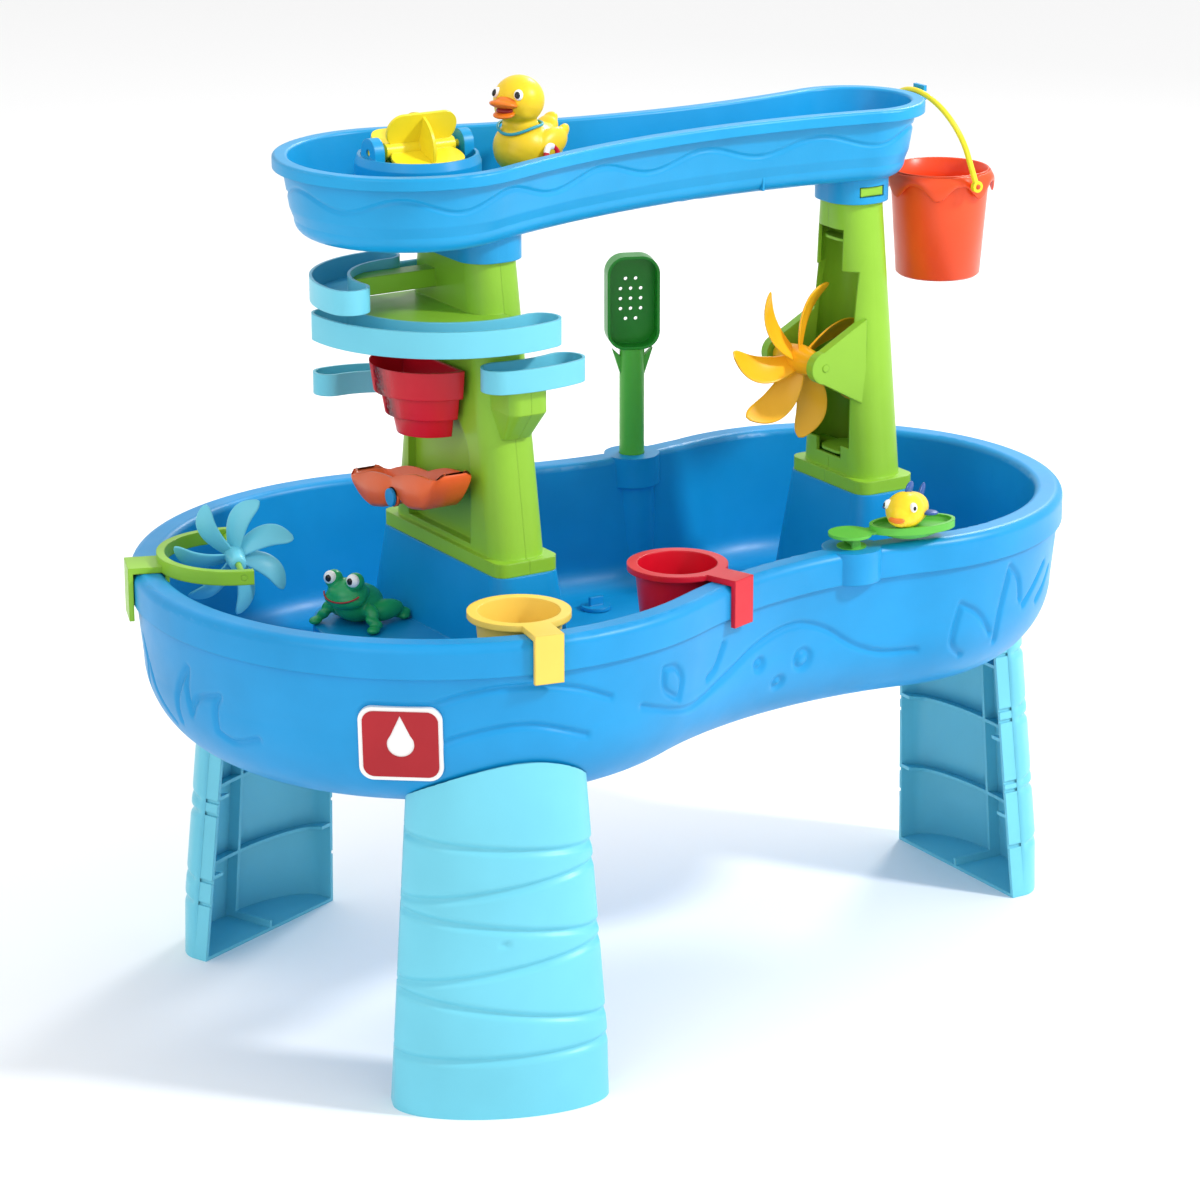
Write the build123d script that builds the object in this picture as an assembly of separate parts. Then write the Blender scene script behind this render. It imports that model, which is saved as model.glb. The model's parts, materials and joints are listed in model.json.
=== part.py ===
"""Sand and water table: two-lobe basin on three legs, two towers and an upper tray.

Millimetres, +Z up. X runs along the table, the big lobe is at -X, the front is -Y and the
floor is z = 0. The middle of the basin's length is x = 0 and its long axis is y = 0.
"""
from math import atan2, cos, degrees, hypot, radians, sin, sqrt
import os

from build123d import *

# ---- overall sizes
LENGTH = 1030.0        # basin, rim edge to rim edge
LOBE_L = 307.0         # rim radius of the big lobe
LOBE_R = 238.5         # rim radius of the small lobe
WAIST = 224.5          # half width where the rim is narrowest
RIM_Z = 477.0          # rim height above the floor
HULL_DEPTH = 179.0     # rim to underside
LINER_DEPTH = 142.0    # rim to the wet floor
TRAY_RISE = 407.0      # basin rim to tray rim
TRAY_DEPTH = 78.0      # tray rim to its underside
TRAY_LOBE_L = 131.0    # rim radii and half waist of the tray
TRAY_LOBE_R = 76.2
TRAY_WAIST = 59.0

# ---- walls and clearances
SKIN = 5.0             # rotation-moulded basin skin
WALL = 4.0             # towers and legs
THIN = 3.0             # chutes, cups and paddles
GAP = 0.4              # between a lift-off piece and its seat
RUN = 0.05             # radial running clearance on every pin
PLUG = 0.3             # clearance of a push-in peg
COLLAR_FIT = 0.9       # tower top inside the tray collar

# ---- where the lobes, the wet floor and the tray come to
XL = -LENGTH / 2 + LOBE_L
XR = LENGTH / 2 - LOBE_R
HULL_Z = RIM_Z - HULL_DEPTH
WET_Z = RIM_Z - LINER_DEPTH
TRAY_Z = RIM_Z + TRAY_RISE
TRAY_B = TRAY_Z - TRAY_DEPTH
T_XL = XL - 29.6
T_XR = XR + 9.8
TRAY_END = T_XR + TRAY_LOBE_R

# ---- basin section
RIM_W = 30.0
RIM_DROP = 33.0
HULL_R = 85.0          # radius where the side turns under
HULL_STEP = 8.0        # side wall inside the rim edge
HULL_DRAFT = 6.0
LINER_R = 30.0
BAND = 112.0           # width of the swept band
HANDLE_R = 13.5        # scoop handle
BUMP_X = XR - 126.5    # rim bumps for the scoop and the launcher
BUMP_Y = 18.5          # bump centre inside the rim edge
BUMP_R = HANDLE_R + 16.5
SOCKET_DEPTH = 95.0    # scoop socket below the rim
PED_FLARE = 40.0       # how much wider the stands are at the wet floor

# ---- legs
LEG_A0 = 106.0         # half width at the floor
LEG_A1 = 80.0          # half width at the top
LEG_D0 = 66.0
LEG_D1 = 62.0
LEG_LEAN = 27.0        # how far the open side leans in over LEG_H
LEG_H = HULL_Z + 82.0  # trimmed to the hull
LEG_ANGLE = 112.6      # side legs, from +X
LEG_X_SIDE = XL - 77.0
LEG_Y_SIDE = LOBE_L - 66.0
LEG_X_END = LENGTH / 2 - 67.0
LEG_DECK = HULL_Z - 36.0
FOOT = 4.0
GROOVE_W = 4.0
GROOVE_D = 2.2

# ---- towers
TL_X = XL + 35.0
TL_BASE = (60.0, 226.0)
TL_TOP = (56.0, 120.0)
TR_X0 = XR + 19.5
TR_X1 = TR_X0 - 8.0
TR_BASE = (60.0, 124.0)
TR_TOP = (58.0, 62.0)
FLANGE = 5.0           # base flange beyond the body
FLANGE_H = 14.0
COLLAR_H = 26.0

# ---- spinners and wheel
SPIN_R = 86.0
SPIN_X = TR_X0 + 17.0 - SPIN_R
SPIN_PIN = 4.0
SPIN_Z = 138.0         # above the basin rim
SLOT_Y = 36.0          # half width of the tower slot
EAR_T = 11.0
BLADES = 7
WHEEL_X = T_XL + 11.6
WHEEL_R = 38.0
WHEEL_HALF = 38.0
WHEEL_PIN = 3.5
CLAMP_ANGLE = 160.0
FORK_X = 205.0         # fork centre from the lobe centre
RIMSPIN_R = 62.0
FORK_R = RIMSPIN_R + 7.0
RIMSPIN_PIN = 3.0

# ---- cups, bucket, scoop, launcher
CUP_R = 42.0
CUP_LIP = CUP_R + 8.0
CUP_H = 80.0
CUP_REACH = CUP_R + 35.0    # cup centre to rim edge
BUCKET_R = 52.5
BUCKET_X = TRAY_END + BUCKET_R - 13.0
BUCKET_H = 114.0
BAIL_HALF = BUCKET_R + 12.0
BAIL_R = 3.0
LEVER_PIN = 2.5

PARTS = {}


def add(name, shape):
    """Keep one named piece."""
    PARTS[name] = shape


def waist_arc(xl, rl, xr, rr, half):
    """Centre and radius of the concave arc that touches both lobes."""
    a = (rl**2 - rr**2 - xl**2 + xr**2) / (2 * (xr - xl))
    b = (rl - rr) / (xr - xl)
    qa = b * b
    qb = 2 * (a - xl) * b - 2 * (rl - half)
    qc = (a - xl) ** 2 - rl**2 + half**2
    rad = (-qb - sqrt(qb * qb - 4 * qa * qc)) / (2 * qa)
    return a + b * rad, half + rad, rad


def two_lobe(xl, rl, xr, rr, half, inset=0.0):
    """Closed two-lobe outline, moved inward by inset, starting at its -X end."""
    xw, yw, rw = waist_arc(xl, rl, xr, rr, half)
    ul = ((xw - xl) / (rl + rw), yw / (rl + rw))
    ur = ((xw - xr) / (rr + rw), yw / (rr + rw))
    a, b, c = rl - inset, rr - inset, rw + inset
    tl = (xl + a * ul[0], a * ul[1])
    tr = (xr + b * ur[0], b * ur[1])
    ml = (xl - a * sin(radians(40)), a * cos(radians(40)))
    mr = (xr + b * sin(radians(40)), b * cos(radians(40)))
    low = lambda p: (p[0], -p[1])
    start, end = (xl - a, 0), (xr + b, 0)
    edges = [
        ThreePointArc(start, ml, tl),
        ThreePointArc(tl, (xw, yw - c), tr),
        ThreePointArc(tr, mr, end),
        ThreePointArc(end, low(mr), low(tr)),
        ThreePointArc(low(tr), (xw, c - yw), low(tl)),
        ThreePointArc(low(tl), low(ml), start),
    ]
    return Wire(edges)


def side_profile(x0, *items):
    """Closed XZ section at y = 0 from points and (mid, end) arcs given as (inset, z)."""
    at = lambda p: Vector(x0 + p[0], 0, p[1])
    edges = []
    here = items[0]
    for item in items[1:] + (items[0],):
        if isinstance(item[0], tuple):
            edges.append(ThreePointArc(at(here), at(item[0]), at(item[1])))
            here = item[1]
        else:
            edges.append(Line(at(here), at(item)))
            here = item
    return Face(Wire(edges))


def bend(cx, cz, r, a0, a1):
    """Arc item for side_profile about (cx, cz) between two angles in degrees."""
    mid = radians((a0 + a1) / 2)
    end = radians(a1)
    return ((cx + r * cos(mid), cz + r * sin(mid)), (cx + r * cos(end), cz + r * sin(end)))


def ring(section, path):
    """Sweep a section round a closed outline."""
    return sweep(section, path=path)


def ellipse_arc(x, y, rx, ry, a0, a1):
    """Part of an ellipse from angle a0 to a1 in degrees, split at quadrants."""
    return EllipticalCenterArc((x, y), rx, ry, start_angle=a0, arc_size=a1 - a0)


def rrect(w, h, r, x=0.0, y=0.0, z=0.0):
    return Pos(x, y, z) * RectangleRounded(w, h, r)


def prism(face, z0, z1):
    return extrude(Pos(0, 0, z0) * face, z1 - z0, dir=(0, 0, 1))


def block(x0, x1, y0, y1, z0, z1):
    size = (x1 - x0, y1 - y0, z1 - z0)
    return Pos((x0 + x1) / 2, (y0 + y1) / 2, (z0 + z1) / 2) * Box(*size)


def rod(p, direction, r, length):
    """Cylinder from point p along a direction."""
    plane = Plane(origin=p, z_dir=direction)
    return extrude(plane * Circle(r), length)


def tube(x, y, r_out, r_in, z0, z1):
    return Pos(x, y, (z0 + z1) / 2) * (Cylinder(r_out, z1 - z0) - Cylinder(r_in, z1 - z0))


def frustum(lower, upper):
    """Ruled body between two placed faces."""
    return loft([lower, upper], ruled=True)


# ================================================================ basin
def basin_outline(inset):
    return two_lobe(XL, LOBE_L, XR, LOBE_R, WAIST, inset)


def basin_shell():
    path = basin_outline(0)
    x0 = XL - LOBE_L
    turn = HULL_STEP + HULL_DRAFT
    under = RIM_Z - RIM_DROP
    top_r, in_r = 9.0, 7.0
    wall_in = RIM_W + 8
    section = side_profile(
        x0,
        (BAND, HULL_Z),
        (turn + HULL_R, HULL_Z),
        bend(turn + HULL_R, HULL_Z + HULL_R, HULL_R, 270, 180),
        (HULL_STEP, under),
        (0, under),
        (0, RIM_Z - top_r),
        bend(top_r, RIM_Z - top_r, top_r, 180, 90),
        (RIM_W - in_r, RIM_Z),
        bend(RIM_W - in_r, RIM_Z - in_r, in_r, 90, 0),
        (wall_in, WET_Z + LINER_R),
        bend(wall_in + LINER_R, WET_Z + LINER_R, LINER_R, 180, 270),
        (BAND, WET_Z),
        (BAND, WET_Z - SKIN),
        (wall_in + LINER_R, WET_Z - SKIN),
        bend(wall_in + LINER_R, WET_Z + LINER_R, LINER_R + SKIN, 270, 180),
        (RIM_W - SKIN, RIM_Z - 9),
        (RIM_W - SKIN - 3, RIM_Z - SKIN),
        (HULL_STEP + SKIN, RIM_Z - SKIN),
        (HULL_STEP + SKIN, under),
        (turn + SKIN, HULL_Z + HULL_R),
        bend(turn + HULL_R, HULL_Z + HULL_R, HULL_R - SKIN, 180, 270),
        (BAND, HULL_Z + SKIN),
    )
    shell = ring(section, path)
    plate = Face(basin_outline(BAND - 2))
    shell += prism(plate, HULL_Z, HULL_Z + SKIN)
    shell += prism(plate, WET_Z - SKIN, WET_Z)
    return shell


def hull_fill():
    """Everything inside the hull's outer surface below the rim."""
    turn = HULL_STEP + HULL_DRAFT
    under = RIM_Z - RIM_DROP
    section = side_profile(
        XL - LOBE_L,
        (BAND, HULL_Z),
        (turn + HULL_R, HULL_Z),
        bend(turn + HULL_R, HULL_Z + HULL_R, HULL_R, 270, 180),
        (HULL_STEP, under),
        (BAND, under),
    )
    body = ring(section, basin_outline(0))
    return body + prism(Face(basin_outline(BAND - 2)), HULL_Z, under)


def pedestal(x, top, flare, z_top, grow):
    """Tapered stand from the wet floor; grow is negative for the hollow inside."""
    w, h = top
    low = rrect(w + flare + 2 * grow, h + flare + 2 * grow, 30 + grow, x, 0, WET_Z - SKIN - 1)
    high = rrect(w + 2 * grow, h + 2 * grow, 20 + grow, x, 0, z_top + min(grow, 0))
    return frustum(low, high)


PED_L = (TL_BASE[0] + 2 * FLANGE + 4, TL_BASE[1] + 2 * FLANGE + 6)
PED_R = (TR_BASE[0] + 2 * FLANGE + 4, TR_BASE[1] + 2 * FLANGE + 6)
STEP_X, STEP_Y, STEP_R, STEP_Z = TL_X - 42.0, 35.0, 105.0, RIM_Z - 79.0
BUMP_CY = WAIST - BUMP_Y
DRAIN = (XL + 265.0, WAIST - 94.5)
DRAIN_R = 11.0


def frog_step(grow):
    z1 = STEP_Z + min(grow, 0)
    disc = Pos(STEP_X, STEP_Y, (WET_Z - SKIN - 1 + z1) / 2) * Cylinder(
        STEP_R + grow, z1 - WET_Z + SKIN + 1
    )
    reach = STEP_R + 10
    return disc & block(STEP_X - reach, TL_X - 2 + grow, STEP_Y - reach, STEP_Y + reach, WET_Z - 20, RIM_Z)


def build_basin():
    body = basin_shell()
    body += pedestal(TL_X, PED_L, PED_FLARE, RIM_Z, 0)
    body += pedestal(TR_X0, PED_R, PED_FLARE, RIM_Z, 0)
    body += frog_step(0)
    body += Pos(BUMP_X, BUMP_CY, (RIM_Z + WET_Z) / 2) * Cylinder(BUMP_R - 5, RIM_Z - WET_Z)
    for side in (1, -1):
        z0 = RIM_Z - RIM_DROP
        body += Pos(BUMP_X, side * BUMP_CY, (z0 + RIM_Z) / 2) * Cylinder(BUMP_R, RIM_DROP)
    drain_z = HULL_Z + 2
    body += Pos(*DRAIN, (drain_z + WET_Z) / 2) * Cylinder(DRAIN_R + 6, WET_Z - drain_z)
    body -= pedestal(TL_X, PED_L, PED_FLARE, RIM_Z, -SKIN)
    body -= pedestal(TR_X0, PED_R, PED_FLARE, RIM_Z, -SKIN)
    body -= frog_step(-SKIN)
    hole_z = RIM_Z - SOCKET_DEPTH
    body -= Pos(BUMP_X, BUMP_CY, (hole_z + RIM_Z + 1) / 2) * Cylinder(HANDLE_R + GAP, RIM_Z + 1 - hole_z)
    body -= Pos(BUMP_X, -BUMP_CY, RIM_Z - 12) * Cylinder(9 + PLUG, 26)
    body -= Pos(*DRAIN, (HULL_Z + WET_Z) / 2) * Cylinder(DRAIN_R, WET_Z - HULL_Z + 4)
    body -= Pos(XL, -60, HULL_Z) * Cylinder(5, 4 * SKIN)
    return body


# ================================================================ legs
def leg_section(z, shrink, back):
    t = z / LEG_H
    a = LEG_A0 + (LEG_A1 - LEG_A0) * t - shrink
    d = LEG_D0 + (LEG_D1 - LEG_D0) * t - shrink
    x = -LEG_LEAN * t
    flat = 16.0
    arc = ellipse_arc(x + flat, 0, d - flat, a, -90, 90)
    edges = [
        Line((x - back, -a), (x + flat, -a)),
        arc,
        Line((x + flat, a), (x - back, a)),
        Line((x - back, a), (x - back, -a)),
    ]
    return Pos(0, 0, z) * Face(Wire(edges))


def leg_loft(shrink, back, z0=0.0):
    return frustum(leg_section(z0, shrink, back), leg_section(LEG_H, shrink, back))


GROOVES = ((61, 1), (106, -10), (148, 9), (190, -8), (228, 8), (268, -6))
SCREW_Y = 48.0
SCREW_X = -6.0


def build_leg():
    """One leg about its own chord: open side at x = 0, bulge towards +X."""
    outer = leg_loft(0, 0)
    body = outer - leg_loft(WALL, 2, FOOT)
    ribs = block(-60, 90, -2, 2, 0, LEG_DECK)
    for z in (92, 178):
        ribs += Pos(0, 0, z) * Rot(0, 14, 0) * Box(260, 260, WALL)
    ribs = (ribs & outer) - leg_loft(18, 2, FOOT + 8)
    body += ribs
    body += block(-60, 90, -120, 120, LEG_DECK, LEG_DECK + WALL) & outer
    for y in (-SCREW_Y, SCREW_Y):
        body += Pos(SCREW_X, y, HULL_Z + 2) * Cylinder(7, 76)
    core = leg_loft(GROOVE_D, 5)
    slats = None
    for z, tilt in GROOVES:
        slab = Pos(0, 0, z) * Rot(tilt, 0, 0) * Box(300, 300, GROOVE_W)
        slats = slab if slats is None else slats + slab
    body -= slats & (outer - core)
    return body


def leg_places():
    yield "leg_front", Pos(LEG_X_SIDE, -LEG_Y_SIDE, 0) * Rot(0, 0, -LEG_ANGLE)
    yield "leg_back", Pos(LEG_X_SIDE, LEG_Y_SIDE, 0) * Rot(0, 0, LEG_ANGLE)
    yield "leg_end", Pos(LEG_X_END, 0, 0) * Rot(0, 0, 0)


def build_legs():
    leg = build_leg()
    fill = hull_fill()
    screw = Pos(0, 0, LEG_DECK - 1.5) * Cylinder(5.5, 3) + Pos(0, 0, LEG_DECK + 25) * Cylinder(2, 54)
    screws = []
    for name, place in leg_places():
        body = (place * leg) - fill
        add(name, largest(body))
        for y in (-SCREW_Y, SCREW_Y):
            screws.append(place * Pos(SCREW_X, y, 0) * screw)
    add("leg_screws", Compound(children=screws))


def largest(shape):
    return max(shape.solids(), key=lambda s: s.volume)


# ================================================================ towers
def tower_body(x0, x1, base, top, r0, r1, shrink=0.0, z0=None, z1=None):
    lo = RIM_Z if z0 is None else z0
    hi = TRAY_B if z1 is None else z1
    low = rrect(base[0] - 2 * shrink, base[1] - 2 * shrink, r0 - shrink, x0, 0, lo)
    high = rrect(top[0] - 2 * shrink, top[1] - 2 * shrink, r1 - shrink, x1, 0, hi)
    return frustum(low, high)


ARCH_Y, ARCH_W, ARCH_Z = 8.0, 62.0, 560.0 - 477.0


def arch(grow):
    """Round-topped recess in the big tower's outer face."""
    x1 = TL_X - TL_BASE[0] / 2 + 9 + grow
    z0 = RIM_Z + FLANGE_H + 6 - grow
    zc = RIM_Z + ARCH_Z + 10
    r = ARCH_W + grow
    body = block(TL_X - 60, x1, ARCH_Y - r, ARCH_Y + r, z0, zc)
    return body + rod((TL_X - 60, ARCH_Y, zc), (1, 0, 0), r, x1 - TL_X + 60)


LONG_C = (TL_X - 17.0, 10.0)
LONG_ENDS = (178.0, 286.0)
LONG_R = 125.0
LONG_W = 42.0
LONG_Z = RIM_Z + 255.0
TOP_Z = RIM_Z + 293.0
SMALL_Z = RIM_Z + 172.0
RIGHT_Z = RIM_Z + 211.0
TIER_Z = RIM_Z + 197.0
TOP_W = 40.0
PEG_R = 6.0
SEE_Y = 5.0
SEE_Z = RIM_Z + 62.0
SEE_TILT = 11.7
SEE_X = TL_X - 62.0
TOP_PEG = (58.0, TOP_Z - 14)
FRONT_PEG = (TL_X - 14, RIGHT_Z - 12)
LONG_PEG = (-2.0, LONG_Z - 17)
SMALL_PEG = (74.0, SMALL_Z - 12)
TIER_PEG = (0.0, TIER_Z - 14)


TL_SCREWS = ((-62.0, RIM_Z + 36), (62.0, RIM_Z + 36), (-30.0, RIM_Z + 238), (30.0, RIM_Z + 238))
TR_SCREWS = ((TR_X0, RIM_Z + 28), (TR_X1 + 2, RIM_Z + 262))


def build_tower_left():
    args = (TL_X, TL_X, TL_BASE, TL_TOP, 24, 24)
    outer = tower_body(*args)
    flange = prism(rrect(TL_BASE[0] + 2 * FLANGE, TL_BASE[1] + 2 * FLANGE, 12, TL_X, 0, 0),
                   RIM_Z, RIM_Z + FLANGE_H)
    hollow = tower_body(*args, shrink=WALL, z0=RIM_Z - 0.01, z1=TRAY_B + 0.01)
    bosses = None
    for y, z in TL_SCREWS:
        piece = rod((TL_X - 50, y, z), (1, 0, 0), 7, 100)
        bosses = piece if bosses is None else bosses + piece
    hollow -= arch(WALL) + bosses
    body = outer + flange - hollow
    body -= arch(0)
    # shelf that carries the long chute
    shelf_z = LONG_Z - 6
    disc = Pos(LONG_C[0], LONG_C[1], shelf_z) * Cylinder(LONG_R - LONG_W / 2 - GAP, 8)
    inside = LONG_R - LONG_W / 2
    front = LONG_C[1] + inside * sin(radians(LONG_ENDS[1])) + 2
    disc &= block(TL_X - 300, TL_X, front, 62, RIM_Z, TRAY_Z)
    inner_cut = tower_body(*args, shrink=1.0)
    body += disc - inner_cut
    # arm beside the top chute
    arm = block(TL_X - 122, TL_X - 20, 12, 34, TOP_Z - 26, TOP_Z - 8)
    arm -= prism(SlotArc(top_arc(), TOP_W + 2 * GAP), TOP_Z - 40, TOP_Z)
    body += largest(arm - inner_cut)
    # bracket bump under the front chute
    bump = frustum(rrect(30, 10, 4, TL_X, -92, RIGHT_Z - 78), rrect(42, 52, 10, TL_X, -97, RIGHT_Z - 48))
    bump += prism(rrect(42, 52, 10, TL_X, -97, 0), RIGHT_Z - 48, RIGHT_Z - 24 - GAP)
    body += bump - inner_cut
    face_x = TL_X - TL_BASE[0] / 2
    for y, z in (TOP_PEG, LONG_PEG, SMALL_PEG, TIER_PEG):
        body -= rod((face_x - 14, y, z), (1, 0, 0), PEG_R + PLUG, 40)
    body -= rod((face_x - 14, SEE_Y, SEE_Z), (1, 0, 0), PEG_R, 42)
    body -= rod((FRONT_PEG[0], -100, FRONT_PEG[1]), (0, 1, 0), 5 + PLUG, 60)
    for y, z in TL_SCREWS:
        body -= rod((TL_X + 22, y, z), (1, 0, 0), 6.5, 30)
    screws = []
    for y, z in TL_SCREWS:
        head = rod((TL_X + 22, y, z), (1, 0, 0), 5, 3)
        screws.append(head + rod((TL_X - 14, y, z), (1, 0, 0), 2, 37))
    outside = block(TL_X - 400, TL_X, -400, 400, RIM_Z - 10, TRAY_Z)
    add("tower_left_outer", body & outside)
    add("tower_left_inner", body - outside)
    return screws


def ear_face():
    z = RIM_Z + SPIN_Z
    pts = [(SPIN_X - 2, z + 17), (TR_X0 - 18, z + 46), (TR_X0 - 18, z - 46), (SPIN_X - 2, z - 17)]
    return make_face(Polyline(*pts, close=True)) + Pos(SPIN_X, z) * Circle(17)


def build_tower_right():
    args = (TR_X0, TR_X1, TR_BASE, TR_TOP, 26, 28)
    outer = tower_body(*args)
    flange = prism(rrect(TR_BASE[0] + 2 * FLANGE, TR_BASE[1] + 2 * FLANGE, 14, TR_X0, 0, 0),
                   RIM_Z, RIM_Z + FLANGE_H)
    hollow = tower_body(*args, shrink=WALL, z0=RIM_Z - 0.01, z1=TRAY_B + 0.01)
    body = outer + flange - hollow
    zc = RIM_Z + SPIN_Z
    for side in (1, -1):
        y0 = side * SLOT_Y if side < 0 else SLOT_Y + EAR_T
        body += extrude(Plane(origin=(0, y0, 0), x_dir=(1, 0, 0), z_dir=(0, -1, 0)) * ear_face(), EAR_T)
    room = SPIN_R + 6
    body -= hollow & block(TR_X0 - 300, TR_X0 + 300, -SLOT_Y - 4, SLOT_Y + 4, zc - room, zc + room)
    # tall slot the blades turn through
    room = SPIN_R + 8
    slot = block(TR_X0 - 146, TR_X0 - 8, -22, 22, RIM_Z + 30, RIM_Z + 275)
    slot += block(TR_X0 - 146, TR_X0 - 8, -SLOT_Y, SLOT_Y, zc - room, zc + room)
    body -= slot
    body -= rod((SPIN_X, -SLOT_Y - EAR_T - 1, zc), (0, 1, 0), SPIN_PIN, 2 * (SLOT_Y + EAR_T) + 2)
    # seats for the two screws across the seam
    bosses = None
    for x, z in TR_SCREWS:
        piece = rod((x, -80, z), (0, 1, 0), 7, 160)
        bosses = piece if bosses is None else bosses + piece
    body += bosses & outer
    for x, z in TR_SCREWS:
        body -= rod((x, 24, z), (0, 1, 0), 6.5, 60)
    screws = []
    for x, z in TR_SCREWS:
        head = rod((x, 24, z), (0, 1, 0), 5, 3)
        screws.append(head + rod((x, -16, z), (0, 1, 0), 2, 41))
    # small shelves seen through the slot
    for dz in (34.0, 262.0):
        shelf = rrect(TR_TOP[0] - 8, TR_TOP[1] - 8, 20, TR_X1 + 3, 0, 0)
        body += prism(shelf, RIM_Z + dz - 1, RIM_Z + dz + 2) & outer
    front = block(TR_X0 - 300, TR_X0 + 300, -400, 0, RIM_Z - 10, TRAY_Z)
    add("tower_right_front", body & front)
    add("tower_right_back", body - front)
    return screws


# ================================================================ tray
FIN_X = T_XR - 136.3
DUCK_X = TL_X + 70.0
DUCK_SEAT = 40.0       # top of the duck's seat above the tray's underside


def tray_outline(inset):
    return two_lobe(T_XL, TRAY_LOBE_L, T_XR, TRAY_LOBE_R, TRAY_WAIST, inset)


def tower_size(x0, x1, base, top, z):
    t = (z - RIM_Z) / (TRAY_B - RIM_Z)
    mix = lambda a, b: a + (b - a) * t
    return mix(x0, x1), mix(base[0], top[0]), mix(base[1], top[1])


def build_tray():
    t, b = TRAY_Z, TRAY_B
    band = 44.0
    section = side_profile(
        T_XL - TRAY_LOBE_L,
        (band, b),
        (36, b),
        bend(36, b + 16, 16, 270, 180),
        (11, t - 5),
        (4, t - 5),
        (4, t - 12),
        (0, t - 12),
        (0, t - 3),
        bend(3, t - 3, 3, 180, 90),
        (12, t),
        bend(12, t - 3, 3, 90, 0),
        (24, b + 16),
        bend(36, b + 16, 12, 180, 270),
        (band, b + 4),
    )
    body = ring(section, tray_outline(0))
    body += prism(Face(tray_outline(band - 2)), b, b + 4)
    for args in ((TL_X, TL_X, TL_BASE, TL_TOP, 24), (TR_X0, TR_X1, TR_BASE, TR_TOP, 28)):
        x, w, h = tower_size(*args[:4], b - COLLAR_H)
        r = args[4]
        body += prism(rrect(w + 11, h + 11, r + 4, x, 0, 0), b - COLLAR_H, b)
        body -= prism(rrect(w + 2 * COLLAR_FIT, h + 2 * COLLAR_FIT, r, x, 0, 0), b - COLLAR_H - 1, b)
    x, w, h = tower_size(TR_X0, TR_X1, TR_BASE, TR_TOP, b - 13)
    for side in (1, -1):
        y = side * (h / 2 + 3)
        body -= block(x - 15, x + 15, y - 8, y + 8, b - 19, b - 8)
    # low fin on the floor and a raised seat in the waist
    body += block(FIN_X, FIN_X + 2.5, -40, 40, b + 3, b + 40) & prism(Face(tray_outline(18)), b, t)
    body += prism(Pos(DUCK_X, 0) * RectangleRounded(84, 84, 30), b + 3, b + DUCK_SEAT)
    # bucket hook at the small end
    body += block(TRAY_END - 8, TRAY_END + 13, -9, 9, t - 9, t - 4)
    body += block(TRAY_END + 9, TRAY_END + 13, -9, 9, t - 9, t + 6)
    add("tray", body)
    tabs = []
    for side in (1, -1):
        y = side * (h / 2 + 1.5)
        tabs.append(block(x - 13.5, x + 13.5, y - 2.5, y + 2.5, b - 18, b - 9))
    add("snap_tabs", Compound(children=tabs))


def build_wheel():
    b = TRAY_B + 4
    zc = TRAY_Z + 3
    post_in = WHEEL_HALF + 6
    well = sqrt(WHEEL_HALF**2 + WHEEL_R**2) + 2
    ring_z = TRAY_Z - 10
    body = tube(WHEEL_X, 0, well + 6, well + 2, b, ring_z)
    body += Pos(WHEEL_X, 0, ring_z + 4) * (Cone(well + 6, well + 3, 8) - Cylinder(well, 9))
    for side in (1, -1):
        x0, x1 = sorted((WHEEL_X + side * post_in, WHEEL_X + side * (post_in + 11)))
        post = block(x0, x1, -14, 14, b, zc)
        post += rod((x0, 0, zc), (1, 0, 0), 14, x1 - x0)
        body += post
    body -= rod((WHEEL_X - 80, 0, zc), (1, 0, 0), WHEEL_PIN + RUN, 160)
    add("wheel_housing", body)
    half = WHEEL_HALF
    reach = half + 15
    wheel = rod((WHEEL_X - half, 0, zc), (1, 0, 0), 8, 2 * half)
    wheel += rod((WHEEL_X - reach, 0, zc), (1, 0, 0), WHEEL_PIN, 2 * reach)
    wheel += rod((WHEEL_X - 1.5, 0, zc), (1, 0, 0), WHEEL_R - 4, 3)
    plan = RectangleRounded(2 * half, WHEEL_R - 4, WHEEL_R / 2 - 3)
    paddle = extrude(Pos(0, WHEEL_R / 2 + 2) * plan, THIN / 2, both=True)
    for k in range(4):
        wheel += Pos(WHEEL_X, 0, zc) * Rot(20 + 90 * k, 0, 0) * paddle
    add("paddle_wheel", wheel)


# ================================================================ spinners
def petal(reach, width, thick, hub, pitch):
    """One swept-back blade along +X, turned about its own length."""
    chord = reach - hub + 8
    arc = ThreePointArc((hub - 8, 0), (hub - 8 + chord * 0.5, chord * 0.16), (reach - width / 2, chord * 0.02))
    blade = extrude(SlotArc(arc, width), thick / 2, both=True)
    return Rot(pitch, 0, 0) * blade


def rotor(reach, width, hub, hub_len, bore, pitch):
    """Bladed wheel about Z."""
    body = Cylinder(hub, hub_len)
    blade = petal(reach, width, THIN, hub, pitch)
    for k in range(BLADES):
        body += Rot(0, 0, 360 / BLADES * k) * blade
    return body - Cylinder(bore, hub_len + 2)


def build_spinner():
    zc = RIM_Z + SPIN_Z
    wheel = rotor(SPIN_R, 25, 13, 2 * SLOT_Y - 3, SPIN_PIN + RUN, 38)
    place = Plane(origin=(SPIN_X, 0, zc), x_dir=(0, 0, 1), z_dir=(0, -1, 0))
    add("tower_spinner", place.location * wheel)
    half = SLOT_Y + EAR_T + 0.5
    add("tower_spinner_pin", rod((SPIN_X, -half, zc), (0, 1, 0), SPIN_PIN, 2 * half))


def radial(angle, cx=None, cy=0.0):
    """Frame at a lobe centre whose +X points outward at an angle."""
    return Pos(XL if cx is None else cx, cy, 0) * Rot(0, 0, angle)


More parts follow.
